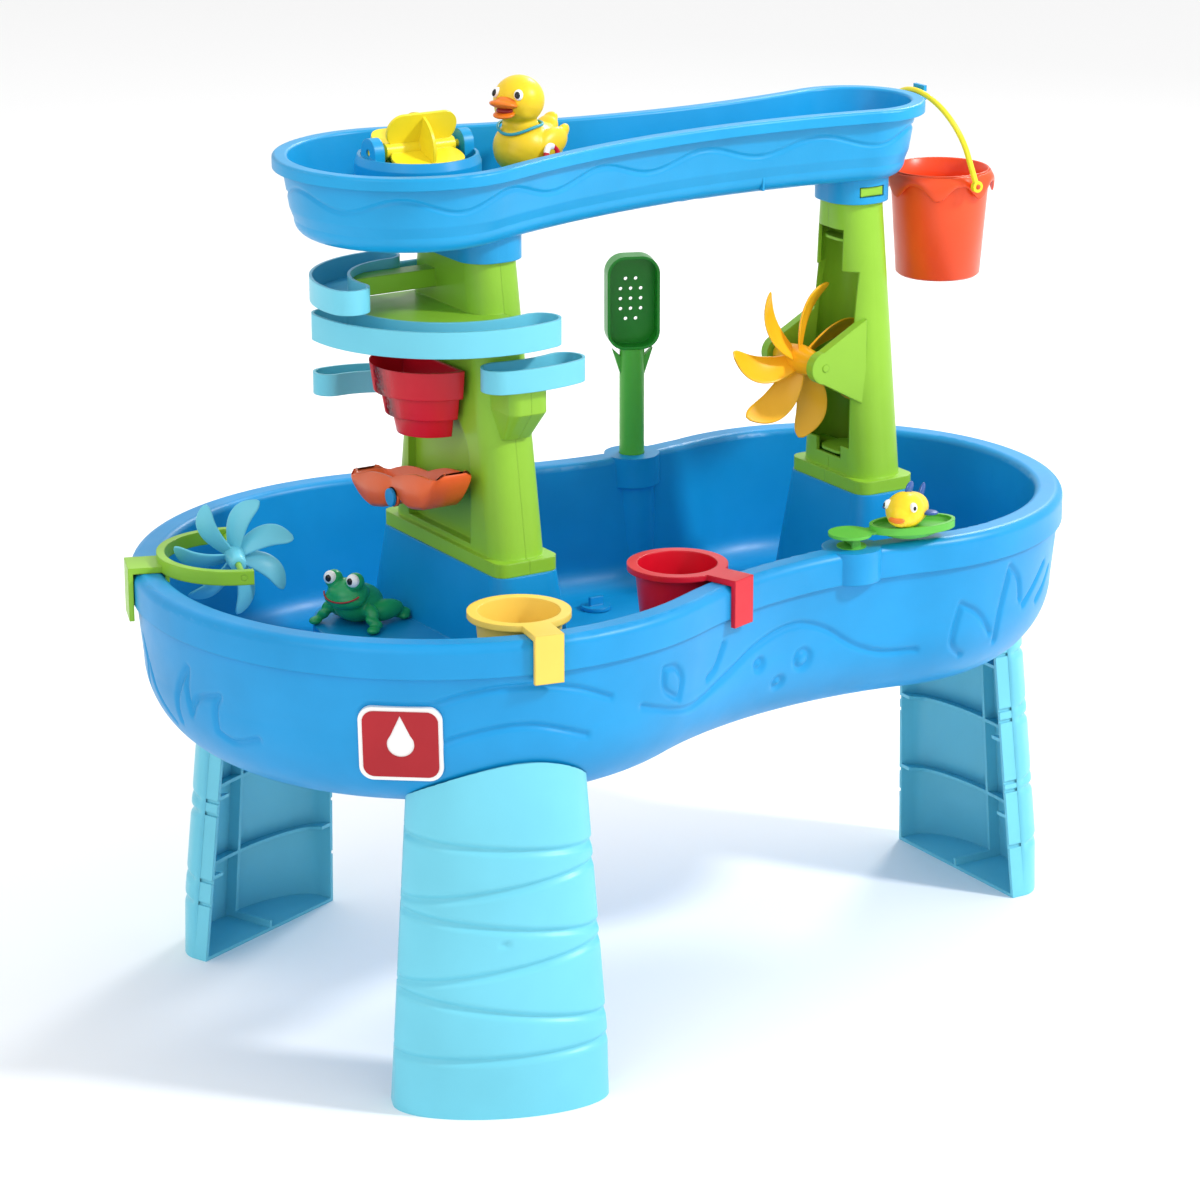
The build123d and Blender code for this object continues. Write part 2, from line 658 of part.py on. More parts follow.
def build_clamp():
    place = radial(CLAMP_ANGLE)
    z0 = RIM_Z + GAP
    edge = LOBE_L
    rim_in = edge - RIM_W
    fork = Pos(FORK_X, 0, z0 + 7) * (Cylinder(FORK_R + 8, 14) - Cylinder(FORK_R, 15))
    fork &= block(FORK_X, FORK_X + 200, -100, 100, z0, z0 + 14)
    for side in (1, -1):
        y = side * (FORK_R + 4)
        fork += block(FORK_X - 10, FORK_X + 1, y - 4, y + 4, z0, z0 + 14)
    fork += block(rim_in - 6, edge + GAP + 5, -20, 20, z0, z0 + 6)
    fork += block(edge + GAP, edge + GAP + 5, -20, 20, z0 - 48, z0 + 6)
    fork += block(rim_in - 6, rim_in - 1.5, -14, 14, z0 - 12, z0 + 6)
    fork -= rod((FORK_X, -FORK_R - 20, z0 + 7), (0, 1, 0), RIMSPIN_PIN, 2 * FORK_R + 40)
    add("rim_clamp", place * fork)
    wheel = rotor(RIMSPIN_R, 18, 9, 64, RIMSPIN_PIN + RUN, 40)
    turn = Plane(origin=(FORK_X, 0, z0 + 7), x_dir=(0, 0, 1), z_dir=(0, 1, 0)).location
    add("rim_spinner", place * (turn * wheel))
    half = FORK_R + 8
    add("rim_spinner_pin", place * rod((FORK_X, -half, z0 + 7), (0, 1, 0), RIMSPIN_PIN, 2 * half))


# ================================================================ maze pieces
def trough(arc, width, depth, z_top, floor=THIN):
    outer = prism(SlotArc(arc, width), z_top - depth, z_top)
    return outer - prism(SlotArc(arc, width - 2 * THIN), z_top - depth + floor, z_top + 1)


def face_at(z):
    """x of the big tower's outer face at height z."""
    x, w, _ = tower_size(TL_X, TL_X, TL_BASE, TL_TOP, z)
    return x - w / 2


def peg(y, z, x_from):
    """Push-in peg towards the tower."""
    return rod((x_from, y, z), (1, 0, 0), PEG_R, face_at(z) + 14 - x_from)


def top_arc():
    """Run of the top chute: out from under the tray, then round to the front."""
    return ThreePointArc((TL_X - 63, 62), (TL_X - 134, 30), (TL_X - 154, -42))


def build_chutes():
    arc = CenterArc(LONG_C, LONG_R, LONG_ENDS[0], LONG_ENDS[1] - LONG_ENDS[0])
    body = trough(arc, LONG_W, 26, LONG_Z)
    x_in = LONG_C[0] - LONG_R + LONG_W / 2 - 2
    add("chute_long", body + peg(LONG_PEG[0], LONG_PEG[1], x_in))
    body = trough(top_arc(), TOP_W, 24, TOP_Z)
    add("chute_top", body + peg(TOP_PEG[0], TOP_PEG[1], TL_X - 67))
    arc = ThreePointArc((TL_X - 52, 88), (TL_X - 77, 98), (TL_X - 101, 100))
    add("chute_small", trough(arc, 34, 22, SMALL_Z) + peg(SMALL_PEG[0], SMALL_PEG[1], TL_X - 42))
    arc = ThreePointArc((TL_X - 25, -108), (TL_X + 10, -112), (TL_X + 48, -106))
    front = trough(arc, 40, 23, RIGHT_Z)
    add("chute_front", front + rod((FRONT_PEG[0], -90, FRONT_PEG[1]), (0, 1, 0), 5, 22))


def d_face(half, bulge, x, y, z):
    arc = ellipse_arc(x, y, bulge, half, 90, 270)
    return Pos(0, 0, z) * Face(Wire([arc, Line((x, y - half), (x, y + half))]))


def build_tier_cup():
    x = TL_X - TL_BASE[0] / 2 - 6
    tiers = ((29, 62, 64), (23, 51, 53), (20, 39, 42))
    body = None
    hollow = None
    z = TIER_Z
    for height, half, bulge in tiers:
        low = z - height
        floor_z = low if low > TIER_Z - 70 else low + THIN
        step = frustum(d_face(half - 4, bulge - 4, x, SEE_Y, low), d_face(half, bulge, x, SEE_Y, z))
        inner = frustum(
            d_face(half - 4 - THIN, bulge - 4 - THIN, x - THIN, SEE_Y, floor_z),
            d_face(half - THIN, bulge - THIN, x - THIN, SEE_Y, z + 0.1),
        )
        body = step if body is None else body + step
        hollow = inner if hollow is None else hollow + inner
        z -= height
    body -= hollow
    body -= Pos(x - 20, SEE_Y, z) * Cylinder(4, 20)
    add("tier_cup", body + peg(TIER_PEG[0], TIER_PEG[1], x - 1))


def build_seesaw():
    half, wide = 92.0, 44.0
    pivot = Location((SEE_X, SEE_Y, SEE_Z))
    right = [(22, -12), (half - 34, -8), (half, 20), (34, 24)]
    left = [(-y, z) for y, z in reversed(right)]
    pts = right + [(0, 18)] + left + [(0, 2)]
    side = Plane(origin=(0, 0, 0), x_dir=(0, 1, 0), z_dir=(1, 0, 0))
    body = extrude(side * make_face(Polyline(*pts, close=True)), wide / 2, both=True)
    for s in (1, -1):
        run = ((half - 8, 30), (half - 8, 19), (half - 36, -4), (24, -8), (8, 8), (8, 30))
        pocket = [(s * y, z) for y, z in run]
        body -= extrude(side * make_face(Polyline(*pocket, close=True)), wide / 2 - THIN, both=True)
    body += rod((-wide / 2, 0, 0), (1, 0, 0), PEG_R + 4, wide)
    body -= rod((-wide / 2 - 1, 0, 0), (1, 0, 0), PEG_R + RUN, wide + 2)
    add("seesaw", pivot * Rot(-SEE_TILT, 0, 0) * body)
    x_wall = TL_X - TL_BASE[0] / 2 + 9
    pin = rod((SEE_X - wide / 2 - 4, SEE_Y, SEE_Z), (1, 0, 0), PEG_R, x_wall + 12 - SEE_X + wide / 2 + 4)
    pin += rod((SEE_X + wide / 2 + 1, SEE_Y, SEE_Z), (1, 0, 0), 15, x_wall - SEE_X - wide / 2 - 1)
    pin += rod((SEE_X - wide / 2 - 4, SEE_Y, SEE_Z), (1, 0, 0), PEG_R + 3, 3)
    add("seesaw_peg", pin)


# ================================================================ cups, bucket, toys
def cup_profile(r, lip, h):
    outside = [(0, -h), (r - 8, -h), (r, -4), (lip, -4), (lip, 2)]
    inside = [(r - THIN + 0.5, 2), (r - 8 - THIN, -h + THIN), (0, -h + THIN)]
    return make_face(Plane.XZ * Polyline(*outside, *inside, close=True))


def build_cup(name, edge_point, angle):
    """Cup inside the rim with a strap over it; angle is the outward direction."""
    ex, ey = edge_point
    a = radians(angle)
    place = Pos(ex - CUP_REACH * cos(a), ey - CUP_REACH * sin(a), RIM_Z + GAP + 4) * Rot(0, 0, angle)
    body = revolve(cup_profile(CUP_R, CUP_LIP, CUP_H), Axis.Z)
    reach = CUP_REACH + GAP
    body += block(CUP_R + 2, reach + 5, -14.5, 14.5, -4, 2)
    body += block(reach, reach + 5, -14.5, 14.5, -46, 2)
    add(name, place * body)


def build_bucket():
    x, z_rim = BUCKET_X, TRAY_B - 6
    z_piv = z_rim - 10
    r = BUCKET_R
    skin = 2.5
    outside = [(0, -BUCKET_H), (r - 8, -BUCKET_H), (r, -12), (r + 4, -14), (r + 4.5, -11), (r + 0.5, 0)]
    inside = [(r - skin, 0), (r - 8 - skin, -BUCKET_H + skin), (0, -BUCKET_H + skin)]
    body = revolve(make_face(Plane.XZ * Polyline(*outside, *inside, close=True)), Axis.Z)
    body = Pos(x, 0, z_rim) * body
    for side in (1, -1):
        y0 = side * (r - 1.5)
        body += rod((x, y0, z_piv), (0, side, 0), 2.5, BAIL_HALF + 3.5 - r + 1.5)
    add("bucket", body)
    top_z = TRAY_Z - 4 + BAIL_R + 1.4
    top_x = TRAY_END + 4.5
    rise = hypot(top_x - x, top_z - z_piv)
    lean = Vector((top_x - x) / rise, 0, (top_z - z_piv) / rise)
    plane = Plane(origin=(x, 0, z_piv), x_dir=(0, 1, 0), z_dir=Vector(0, 1, 0).cross(lean))
    b, k = BAIL_HALF, rise * 0.42
    path = Wire([
        Line((-b, 4), (-b, k)),
        ThreePointArc((-b, k), (0, rise), (b, k)),
        Line((b, k), (b, 4)),
    ])
    wire = plane * path
    start = plane * Pos(-b, 4, 0) * Rot(90, 0, 0) * Circle(BAIL_R)
    bail = sweep(start, path=wire)
    for side in (1, -1):
        bail += Pos(x, side * b, z_piv) * Rot(90, 0, 0) * Cylinder(6, 5)
    for side in (1, -1):
        bail -= rod((x, side * (b - 5), z_piv), (0, side, 0), 2.5 + RUN, 12)
    add("bail", bail)


SCOOP_YAW = -22.0


def build_scoop():
    place = Pos(BUMP_X, BUMP_CY, RIM_Z) * Rot(0, 0, SCOOP_YAW)
    handle = Pos(0, 0, 12) * Cylinder(HANDLE_R, 210)
    for s in (1, -1):
        tip = make_face(Polyline((0, 70), (s * 9, 76), (s * 22, 117), (s * 4, 100), close=True))
        handle += extrude(Plane.XZ * tip, 4, both=True)
    z0 = 117.0
    w, h = 57.0, 102.0
    outline = Pos(0, z0 + h / 2) * RectangleRounded(w, h, 20)
    head = extrude(Plane.XZ * outline, 11, both=True)
    inner = Pos(0, z0 + h / 2) * RectangleRounded(w - 6, h - 6, 17)
    head -= extrude(Plane(origin=(0, -11.5, 0), x_dir=(1, 0, 0), z_dir=(0, -1, 0)) * inner, -19.5)
    for row, cols in ((0, 2), (1, 3), (2, 3), (3, 3), (4, 2)):
        for c in range(cols):
            dx = (c - (cols - 1) / 2) * 11
            head -= rod((dx, 20, z0 + 30 + row * 11), (0, -1, 0), 2, 30)
    add("scoop_handle", place * handle)
    add("scoop_head", place * head)


LEVER_A = -12.0
LEVER_Z = 6.0
DISH_X = 66.0
FISH_YAW = 12.0


def build_launcher():
    place = Pos(BUMP_X, -BUMP_CY, RIM_Z) * Rot(0, 0, LEVER_A)
    zp = LEVER_Z
    base = Pos(0, 0, -12) * Cylinder(9, 24) + Pos(0, 0, 0.6) * Cylinder(15, 1.2)
    for s in (1, -1):
        y0, y1 = sorted((s * 9, s * 13))
        base += block(-4.5, 4.5, y0, y1, 0, zp) + rod((0, y0, zp), (0, 1, 0), 4.5, 4)
    base -= rod((0, -14, zp), (0, 1, 0), LEVER_PIN, 28)
    add("launcher_base", place * base)
    add("launcher_pin", place * rod((0, -13, zp), (0, 1, 0), LEVER_PIN, 26))
    plan = make_face(Polyline((-2, -10), (40, -8), (40, 8), (-2, 10), close=True))
    plan += Pos(-2, 0) * Circle(22)
    dish = Pos(DISH_X, 0) * Ellipse(46, 25)
    plan += dish
    lever = prism(plan, zp + 6, zp + 9)
    lever += prism(dish, zp + 9, zp + 14) - prism(Pos(DISH_X, 0) * Ellipse(42, 21), zp + 9, zp + 15)
    lever += block(-4.5, 4.5, -8.6, 8.6, zp, zp + 7) + rod((0, -8.6, zp), (0, 1, 0), 4.5, 17.2)
    lever -= rod((0, -10, zp), (0, 1, 0), LEVER_PIN + RUN, 20)
    add("launcher_lever", place * lever)
    seat = place * Pos(DISH_X - 4, 0, zp + 9 + GAP)
    # fish sitting in the dish, nose towards the front of the big lobe
    seat = seat * Rot(0, 0, FISH_YAW - LEVER_A)
    fish = Pos(0, 0, 18) * spindle(33, 20) + ball(-6, 0, 19, 21.5)
    flat = block(-60, 60, -40, 40, 0, 80)
    add("fish_body", seat * (fish & flat))
    fins = extrude(Plane.XZ * Pos(-2, 42) * RectangleRounded(18, 12, 4), 2, both=True)
    tail = extrude(Plane.XZ * make_face(Polyline((28, 19), (46, 34), (46, 9), close=True)), 2, both=True)
    side_fin = extrude(Plane.XY * Pos(2, 0, 20) * RectangleRounded(16, 60, 5), 2)
    add("fish_fins", seat * ((fins + tail + side_fin) - fish))


FROG = (STEP_X - 59.0, 52.0)
FROG_YAW = -150.0
DUCK_YAW = -155.0


def ball(x, y, z, r):
    return Pos(x, y, z) * Sphere(r)


def spindle(length, r):
    """Ellipsoid of revolution about X."""
    arc = ellipse_arc(0, 0, length, r, 0, 180)
    return revolve(Face(Wire([arc, Line((-length, 0), (length, 0))])), Axis.X)


def build_frog():
    place = Pos(FROG[0], FROG[1], STEP_Z + GAP) * Rot(0, 0, FROG_YAW)
    floor = block(-90, 90, -90, 90, 0, 120)
    body = Pos(0, 0, 23) * spindle(31, 24)
    body += Pos(18, 0, 37) * spindle(23, 20)
    for s in (1, -1):
        body += Pos(-7, s * 26, 14) * Rot(0, 0, -s * 24) * spindle(27, 11)
        body += ball(-30, s * 34, 6, 9)
        body += Pos(17, s * 22, 14) * Rot(0, 0, s * 60) * spindle(16, 8)
        body += ball(24, s * 31, 6, 9)
        body += ball(25, s * 13, 52, 9)
    add("frog_body", place * (body & floor))
    add("frog_eyes", Compound(children=[place * ball(30, s * 14, 54, 7) for s in (1, -1)]))


def build_duck():
    place = Pos(DUCK_X, 0, TRAY_B + DUCK_SEAT + GAP) * Rot(0, 0, DUCK_YAW)
    floor = block(-90, 90, -90, 90, 0, 200)
    body = Pos(0, 0, 26) * spindle(42, 30)
    body += Pos(-36, 0, 42) * Rot(0, -130, 0) * spindle(16, 9)
    for s in (1, -1):
        body += Pos(-6, s * 25, 32) * Rot(0, 12, 0) * spindle(24, 12)
    body += ball(14, 0, 78, 25) + Pos(12, 0, 52) * Cylinder(18, 20)
    body = body & floor
    bill = Pos(40, 0, 72) * (spindle(13, 9) & block(-20, 20, -20, 20, -5, 5))
    scarf = Pos(12, 0, 52) * Torus(20, 3)
    add("duck_body", place * (body - scarf))
    add("duck_bill", place * (bill - body))
    add("duck_scarf", place * scarf)


BADGE_A = -127.0
BADGE_Z = RIM_Z - 100
BADGE_LEAN = 7.0


def build_badge():
    out = LOBE_L - HULL_STEP - HULL_DRAFT
    lean = radial(BADGE_A) * Pos(out - 1, 0, BADGE_Z) * Rot(0, 90 + BADGE_LEAN, 0)
    plate = Pos(0, 0, -12) * extrude(RectangleRounded(76, 80, 14), 15)
    drop = Circle(13) + make_face(Polyline((-30, 0), (-8, -10), (-8, 10), close=True))
    face = extrude(lean * Pos(0, 0, 3) * (RectangleRounded(68, 72, 11) - drop), 1)
    add("badge_plate", largest(lean * plate - hull_fill()))
    add("badge_face", face)


def build_drain_plug():
    cap = Pos(*DRAIN, WET_Z + GAP + 2) * Cylinder(DRAIN_R + 5, 4)
    stem = Pos(*DRAIN, (HULL_Z + 6 + WET_Z + 2) / 2) * Cylinder(DRAIN_R - GAP, WET_Z - HULL_Z - 4)
    knob = block(DRAIN[0] - 8, DRAIN[0] + 8, DRAIN[1] - 2, DRAIN[1] + 2, WET_Z + 4, WET_Z + 14)
    add("drain_plug", cap + stem + knob)


def rim_edge(x):
    """Front rim edge point on the waist arc and its outward direction."""
    xw, yw, rw = waist_arc(XL, LOBE_L, XR, LOBE_R, WAIST)
    y = -(yw - sqrt(rw**2 - (x - xw) ** 2))
    return (x, y), degrees(atan2(-yw - y, xw - x))


def build_all():
    add("basin", build_basin())
    build_legs()
    screws = build_tower_left() + build_tower_right()
    add("tower_screws", Compound(children=screws))
    build_tray()
    build_wheel()
    build_spinner()
    build_clamp()
    build_chutes()
    build_tier_cup()
    build_seesaw()
    a = radians(-100.5)
    build_cup("cup_yellow", (XL + LOBE_L * cos(a), LOBE_L * sin(a)), -100.5)
    point, angle = rim_edge(XL + 194)
    build_cup("cup_red", point, angle)
    build_bucket()
    build_scoop()
    build_launcher()
    build_frog()
    build_duck()
    build_badge()
    build_drain_plug()


build_all()
os.makedirs("parts", exist_ok=True)
for name, shape in PARTS.items():
    export_step(shape, f"parts/{name}.step")
    box = shape.bounding_box()
    print(f"{name:20s} solids {len(shape.solids())} valid {shape.is_valid} from {box.min} to {box.max}")
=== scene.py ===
"""Looks of the sand and water table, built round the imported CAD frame. Metres, +Z up, front at -Y."""

import json
import math

import bmesh
import bpy
import numpy as np
from mathutils import Matrix, Vector


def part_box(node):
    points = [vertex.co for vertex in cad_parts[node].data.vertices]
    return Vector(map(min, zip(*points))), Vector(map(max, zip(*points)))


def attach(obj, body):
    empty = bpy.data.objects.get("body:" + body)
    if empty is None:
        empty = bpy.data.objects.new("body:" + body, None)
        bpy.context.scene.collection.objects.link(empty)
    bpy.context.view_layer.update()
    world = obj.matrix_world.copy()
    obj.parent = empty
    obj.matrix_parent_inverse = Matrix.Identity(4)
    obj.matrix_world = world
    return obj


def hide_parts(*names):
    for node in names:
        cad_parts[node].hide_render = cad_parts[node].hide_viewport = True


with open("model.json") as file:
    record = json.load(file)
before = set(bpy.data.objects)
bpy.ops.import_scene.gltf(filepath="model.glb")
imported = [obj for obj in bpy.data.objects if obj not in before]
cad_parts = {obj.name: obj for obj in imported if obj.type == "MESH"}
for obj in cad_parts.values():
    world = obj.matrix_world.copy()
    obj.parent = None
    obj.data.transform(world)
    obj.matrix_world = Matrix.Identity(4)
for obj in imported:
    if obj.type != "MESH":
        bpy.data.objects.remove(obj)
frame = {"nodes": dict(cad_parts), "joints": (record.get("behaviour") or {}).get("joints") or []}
for name in ("Cube", "Light", "Camera"):
    if name in bpy.data.objects:
        bpy.data.objects.remove(bpy.data.objects[name])
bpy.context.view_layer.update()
NODES = frame["nodes"]
JOINTS = {joint["name"]: joint for joint in frame["joints"]}
MM = 0.001

# ---- the basin's plan, from the frame
BASIN_LO, BASIN_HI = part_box("basin")
TRAY_LO, TRAY_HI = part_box("tray")
RIM_Z = BASIN_HI.z
HULL_Z = BASIN_LO.z
LOBE_L = 307.0 * MM
LOBE_R = 238.5 * MM
WAIST = 224.5 * MM
TRAY_LOBE_L = 131.0 * MM
TRAY_LOBE_R = 76.2 * MM
TRAY_WAIST = 59.0 * MM
TRAY_HOOK = 13.0 * MM       # the bucket hook stands out from the tray's small end
TRAY_Z = TRAY_HI.z - 6.0 * MM

# ---- the hull's side: a drafted wall that turns under
RIM_DROP = 33.0 * MM        # from the rim's top to its underside
HULL_STEP = 8.0 * MM
HULL_TURN = 14.0 * MM
HULL_R = 85.0 * MM
SKIN = 3.6 * MM             # outer moulded face in front of the hull
GROOVE = 3.4 * MM
GROOVE_W = 3.1 * MM


# ================================================================ materials
def link(tree, a, out, b, into):
    tree.links.new(a.outputs[out], b.inputs[into])


def plastic(name, colour, rough=0.36, spread=0.07, grain=0.16, grain_size=520.0, edge=1.3, glow=0.0):
    """Moulded plastic: slightly mottled colour, uneven gloss, a fine pebbled skin and soft edges."""
    mat = bpy.data.materials.new(name)
    mat.use_nodes = True
    tree = mat.node_tree
    shader = tree.nodes["Principled BSDF"]
    shader.inputs["IOR"].default_value = 1.5
    shader.inputs["Specular IOR Level"].default_value = 0.36
    if glow:
        shader.inputs["Subsurface Weight"].default_value = glow
        shader.inputs["Subsurface Radius"].default_value = (0.01, 0.01, 0.01)
        shader.inputs["Subsurface Scale"].default_value = 0.5
    where = tree.nodes.new("ShaderNodeTexCoord")
    cloud = tree.nodes.new("ShaderNodeTexNoise")
    cloud.inputs["Scale"].default_value = 11.0
    cloud.inputs["Detail"].default_value = 4.0
    link(tree, where, "Object", cloud, "Vector")
    ramp = tree.nodes.new("ShaderNodeValToRGB")
    low, high = ramp.color_ramp.elements
    low.position, high.position = 0.3, 0.72
    low.color = tuple(c * (1 - spread) for c in colour) + (1.0,)
    high.color = tuple(min(1.0, c * (1 + spread) + 0.004) for c in colour) + (1.0,)
    link(tree, cloud, "Fac", ramp, "Fac")
    link(tree, ramp, "Color", shader, "Base Color")
    wear = tree.nodes.new("ShaderNodeTexNoise")
    wear.inputs["Scale"].default_value = 46.0
    wear.inputs["Detail"].default_value = 3.0
    link(tree, where, "Object", wear, "Vector")
    gloss = tree.nodes.new("ShaderNodeMapRange")
    gloss.inputs["To Min"].default_value = rough - 0.06
    gloss.inputs["To Max"].default_value = rough + 0.07
    link(tree, wear, "Fac", gloss, "Value")
    link(tree, gloss, "Result", shader, "Roughness")
    pebble = tree.nodes.new("ShaderNodeTexNoise")
    pebble.inputs["Scale"].default_value = grain_size
    pebble.inputs["Detail"].default_value = 2.0
    link(tree, where, "Object", pebble, "Vector")
    bump = tree.nodes.new("ShaderNodeBump")
    bump.inputs["Strength"].default_value = grain
    bump.inputs["Distance"].default_value = 0.3 * MM
    link(tree, pebble, "Fac", bump, "Height")
    if edge:
        soft = tree.nodes.new("ShaderNodeBevel")
        soft.samples = 4
        soft.inputs["Radius"].default_value = edge * MM
        link(tree, soft, "Normal", bump, "Normal")
    link(tree, bump, "Normal", shader, "Normal")
    return mat


def steel():
    """Zinc-plated screw metal."""
    mat = plastic("screw_steel", (0.55, 0.55, 0.56), rough=0.3, spread=0.1, grain=0.1, edge=0.4)
    mat.node_tree.nodes["Principled BSDF"].inputs["Metallic"].default_value = 1.0
    return mat


COLOURS = {
    "basin_blue": plastic("basin_plastic", (0.0, 0.27, 0.60), rough=0.38, edge=2.0),
    "tray_blue": plastic("tray_plastic", (0.002, 0.31, 0.63), rough=0.36, edge=1.6),
    "aqua": plastic("aqua_plastic", (0.15, 0.56, 0.70), rough=0.36, spread=0.04),
    "lime": plastic("lime_plastic", (0.26, 0.52, 0.03), rough=0.36, spread=0.06, edge=2.0),
    "amber": plastic("amber_plastic", (0.90, 0.45, 0.012), rough=0.3, spread=0.05),
    "wheel_yellow": plastic("yellow_plastic", (0.90, 0.72, 0.02), rough=0.3, spread=0.05),
    "cup_yellow": plastic("cup_yellow_plastic", (0.86, 0.60, 0.10), rough=0.4, spread=0.05, edge=2.0),
    "red": plastic("red_plastic", (0.62, 0.003, 0.018), rough=0.3, spread=0.08, edge=2.0),
    "orange": plastic("orange_plastic", (0.80, 0.12, 0.022), rough=0.34, spread=0.06, edge=2.0),
    "bucket_orange": plastic("bucket_plastic", (0.88, 0.075, 0.012), rough=0.32, spread=0.05),
    "scoop_green": plastic("scoop_plastic", (0.008, 0.29, 0.016), rough=0.32, spread=0.08),
    "stem_green": plastic("stem_plastic", (0.10, 0.47, 0.05), rough=0.36, spread=0.06),
    "frog_green": plastic("frog_vinyl", (0.012, 0.34, 0.11), rough=0.3, spread=0.06, edge=0, glow=0.12),
    "toy_yellow": plastic("toy_vinyl", (0.88, 0.60, 0.012), rough=0.36, spread=0.04, edge=0, glow=0.15),
    "bill_orange": plastic("bill_vinyl", (0.85, 0.20, 0.012), rough=0.34, spread=0.05, edge=0),
    "teal": plastic("cord_paint", (0.03, 0.36, 0.45), rough=0.4, spread=0.05, edge=0),
    "fin_blue": plastic("fin_vinyl", (0.02, 0.08, 0.30), rough=0.34, spread=0.08, edge=0),
    "white": plastic("white_plastic", (0.86, 0.86, 0.84), rough=0.3, spread=0.03, edge=0.8),
    "badge_red": plastic("badge_print", (0.40, 0.004, 0.012), rough=0.34, spread=0.08, edge=0.4),
    "steel": steel(),
}
PUPIL = plastic("pupil_paint", (0.012, 0.012, 0.014), rough=0.16, spread=0.1, edge=0)
MOUTH = plastic("mouth_paint", (0.30, 0.02, 0.02), rough=0.3, spread=0.1, edge=0)


def paint_nodes():
    """Every CAD piece that stays gets the finish of its record slot."""
    for node in NODES.values():
        for holder in node.material_slots:
            slot = holder.material.name.split(".")[0]
            holder.material = COLOURS[slot]


# ================================================================ mesh helpers
def mesh_object(name, verts, faces, slot, body, smooth=True):
    mesh = bpy.data.meshes.new(name)
    mesh.from_pydata([tuple(v) for v in verts], [], faces)
    mesh.update()
    obj = bpy.data.objects.new(name, mesh)
    bpy.context.scene.collection.objects.link(obj)
    mesh.materials.append(COLOURS[slot] if isinstance(slot, str) else slot)
    mesh.polygons.foreach_set("use_smooth", [smooth] * len(mesh.polygons))
    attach(obj, body)
    return obj


def grid_faces(rows, cols, wrap=False):
    """Quads between rows of points; wrap joins the last column to the first."""
    faces = []
    last = cols if wrap else cols - 1
    for r in range(rows - 1):
        for c in range(last):
            d = (c + 1) % cols
            faces.append((r * cols + c, r * cols + d, (r + 1) * cols + d, (r + 1) * cols + c))
    return faces


def placed(obj, matrix):
    obj.data.transform(matrix)
    obj.data.update()
    return obj


def tidy_normals(obj):
    work = bmesh.new()
    work.from_mesh(obj.data)
    bmesh.ops.recalc_face_normals(work, faces=work.faces)
    work.to_mesh(obj.data)
    work.free()
    return obj


def thicken(obj, depth, levels=1, offset=0.0):
    """Gives a sheet its wall and rounds it."""
    wall = obj.modifiers.new("wall", "SOLIDIFY")
    wall.thickness = depth
    wall.offset = offset
    if levels:
        fine = obj.modifiers.new("round", "SUBSURF")
        fine.levels = levels
        fine.render_levels = levels
    return obj


def smooth_path(points, per=10):
    """Catmull-Rom run through a few given points."""
    pts = [np.array(p, float) for p in points]
    pts = [2 * pts[0] - pts[1]] + pts + [2 * pts[-1] - pts[-2]]
    out = []
    for a, b, c, d in zip(pts, pts[1:], pts[2:], pts[3:]):
        for k in range(per):
            t = k / per
            bend = (2 * a - 5 * b + 4 * c - d) * t**2
            out.append(0.5 * (2 * b + (c - a) * t + bend + (3 * b - a - 3 * c + d) * t**3))
    out.append(pts[-2])
    return np.array(out)


def distance_to(path, u, v):
    """Distance from every (u, v) to a polyline."""
    best = np.full(u.shape, 1e3)
    for (ax, ay), (bx, by) in zip(path[:-1], path[1:]):
        dx, dy = bx - ax, by - ay
        size = max(dx * dx + dy * dy, 1e-12)
        t = np.clip(((u - ax) * dx + (v - ay) * dy) / size, 0, 1)
        best = np.minimum(best, np.hypot(u - ax - t * dx, v - ay - t * dy))
    return best


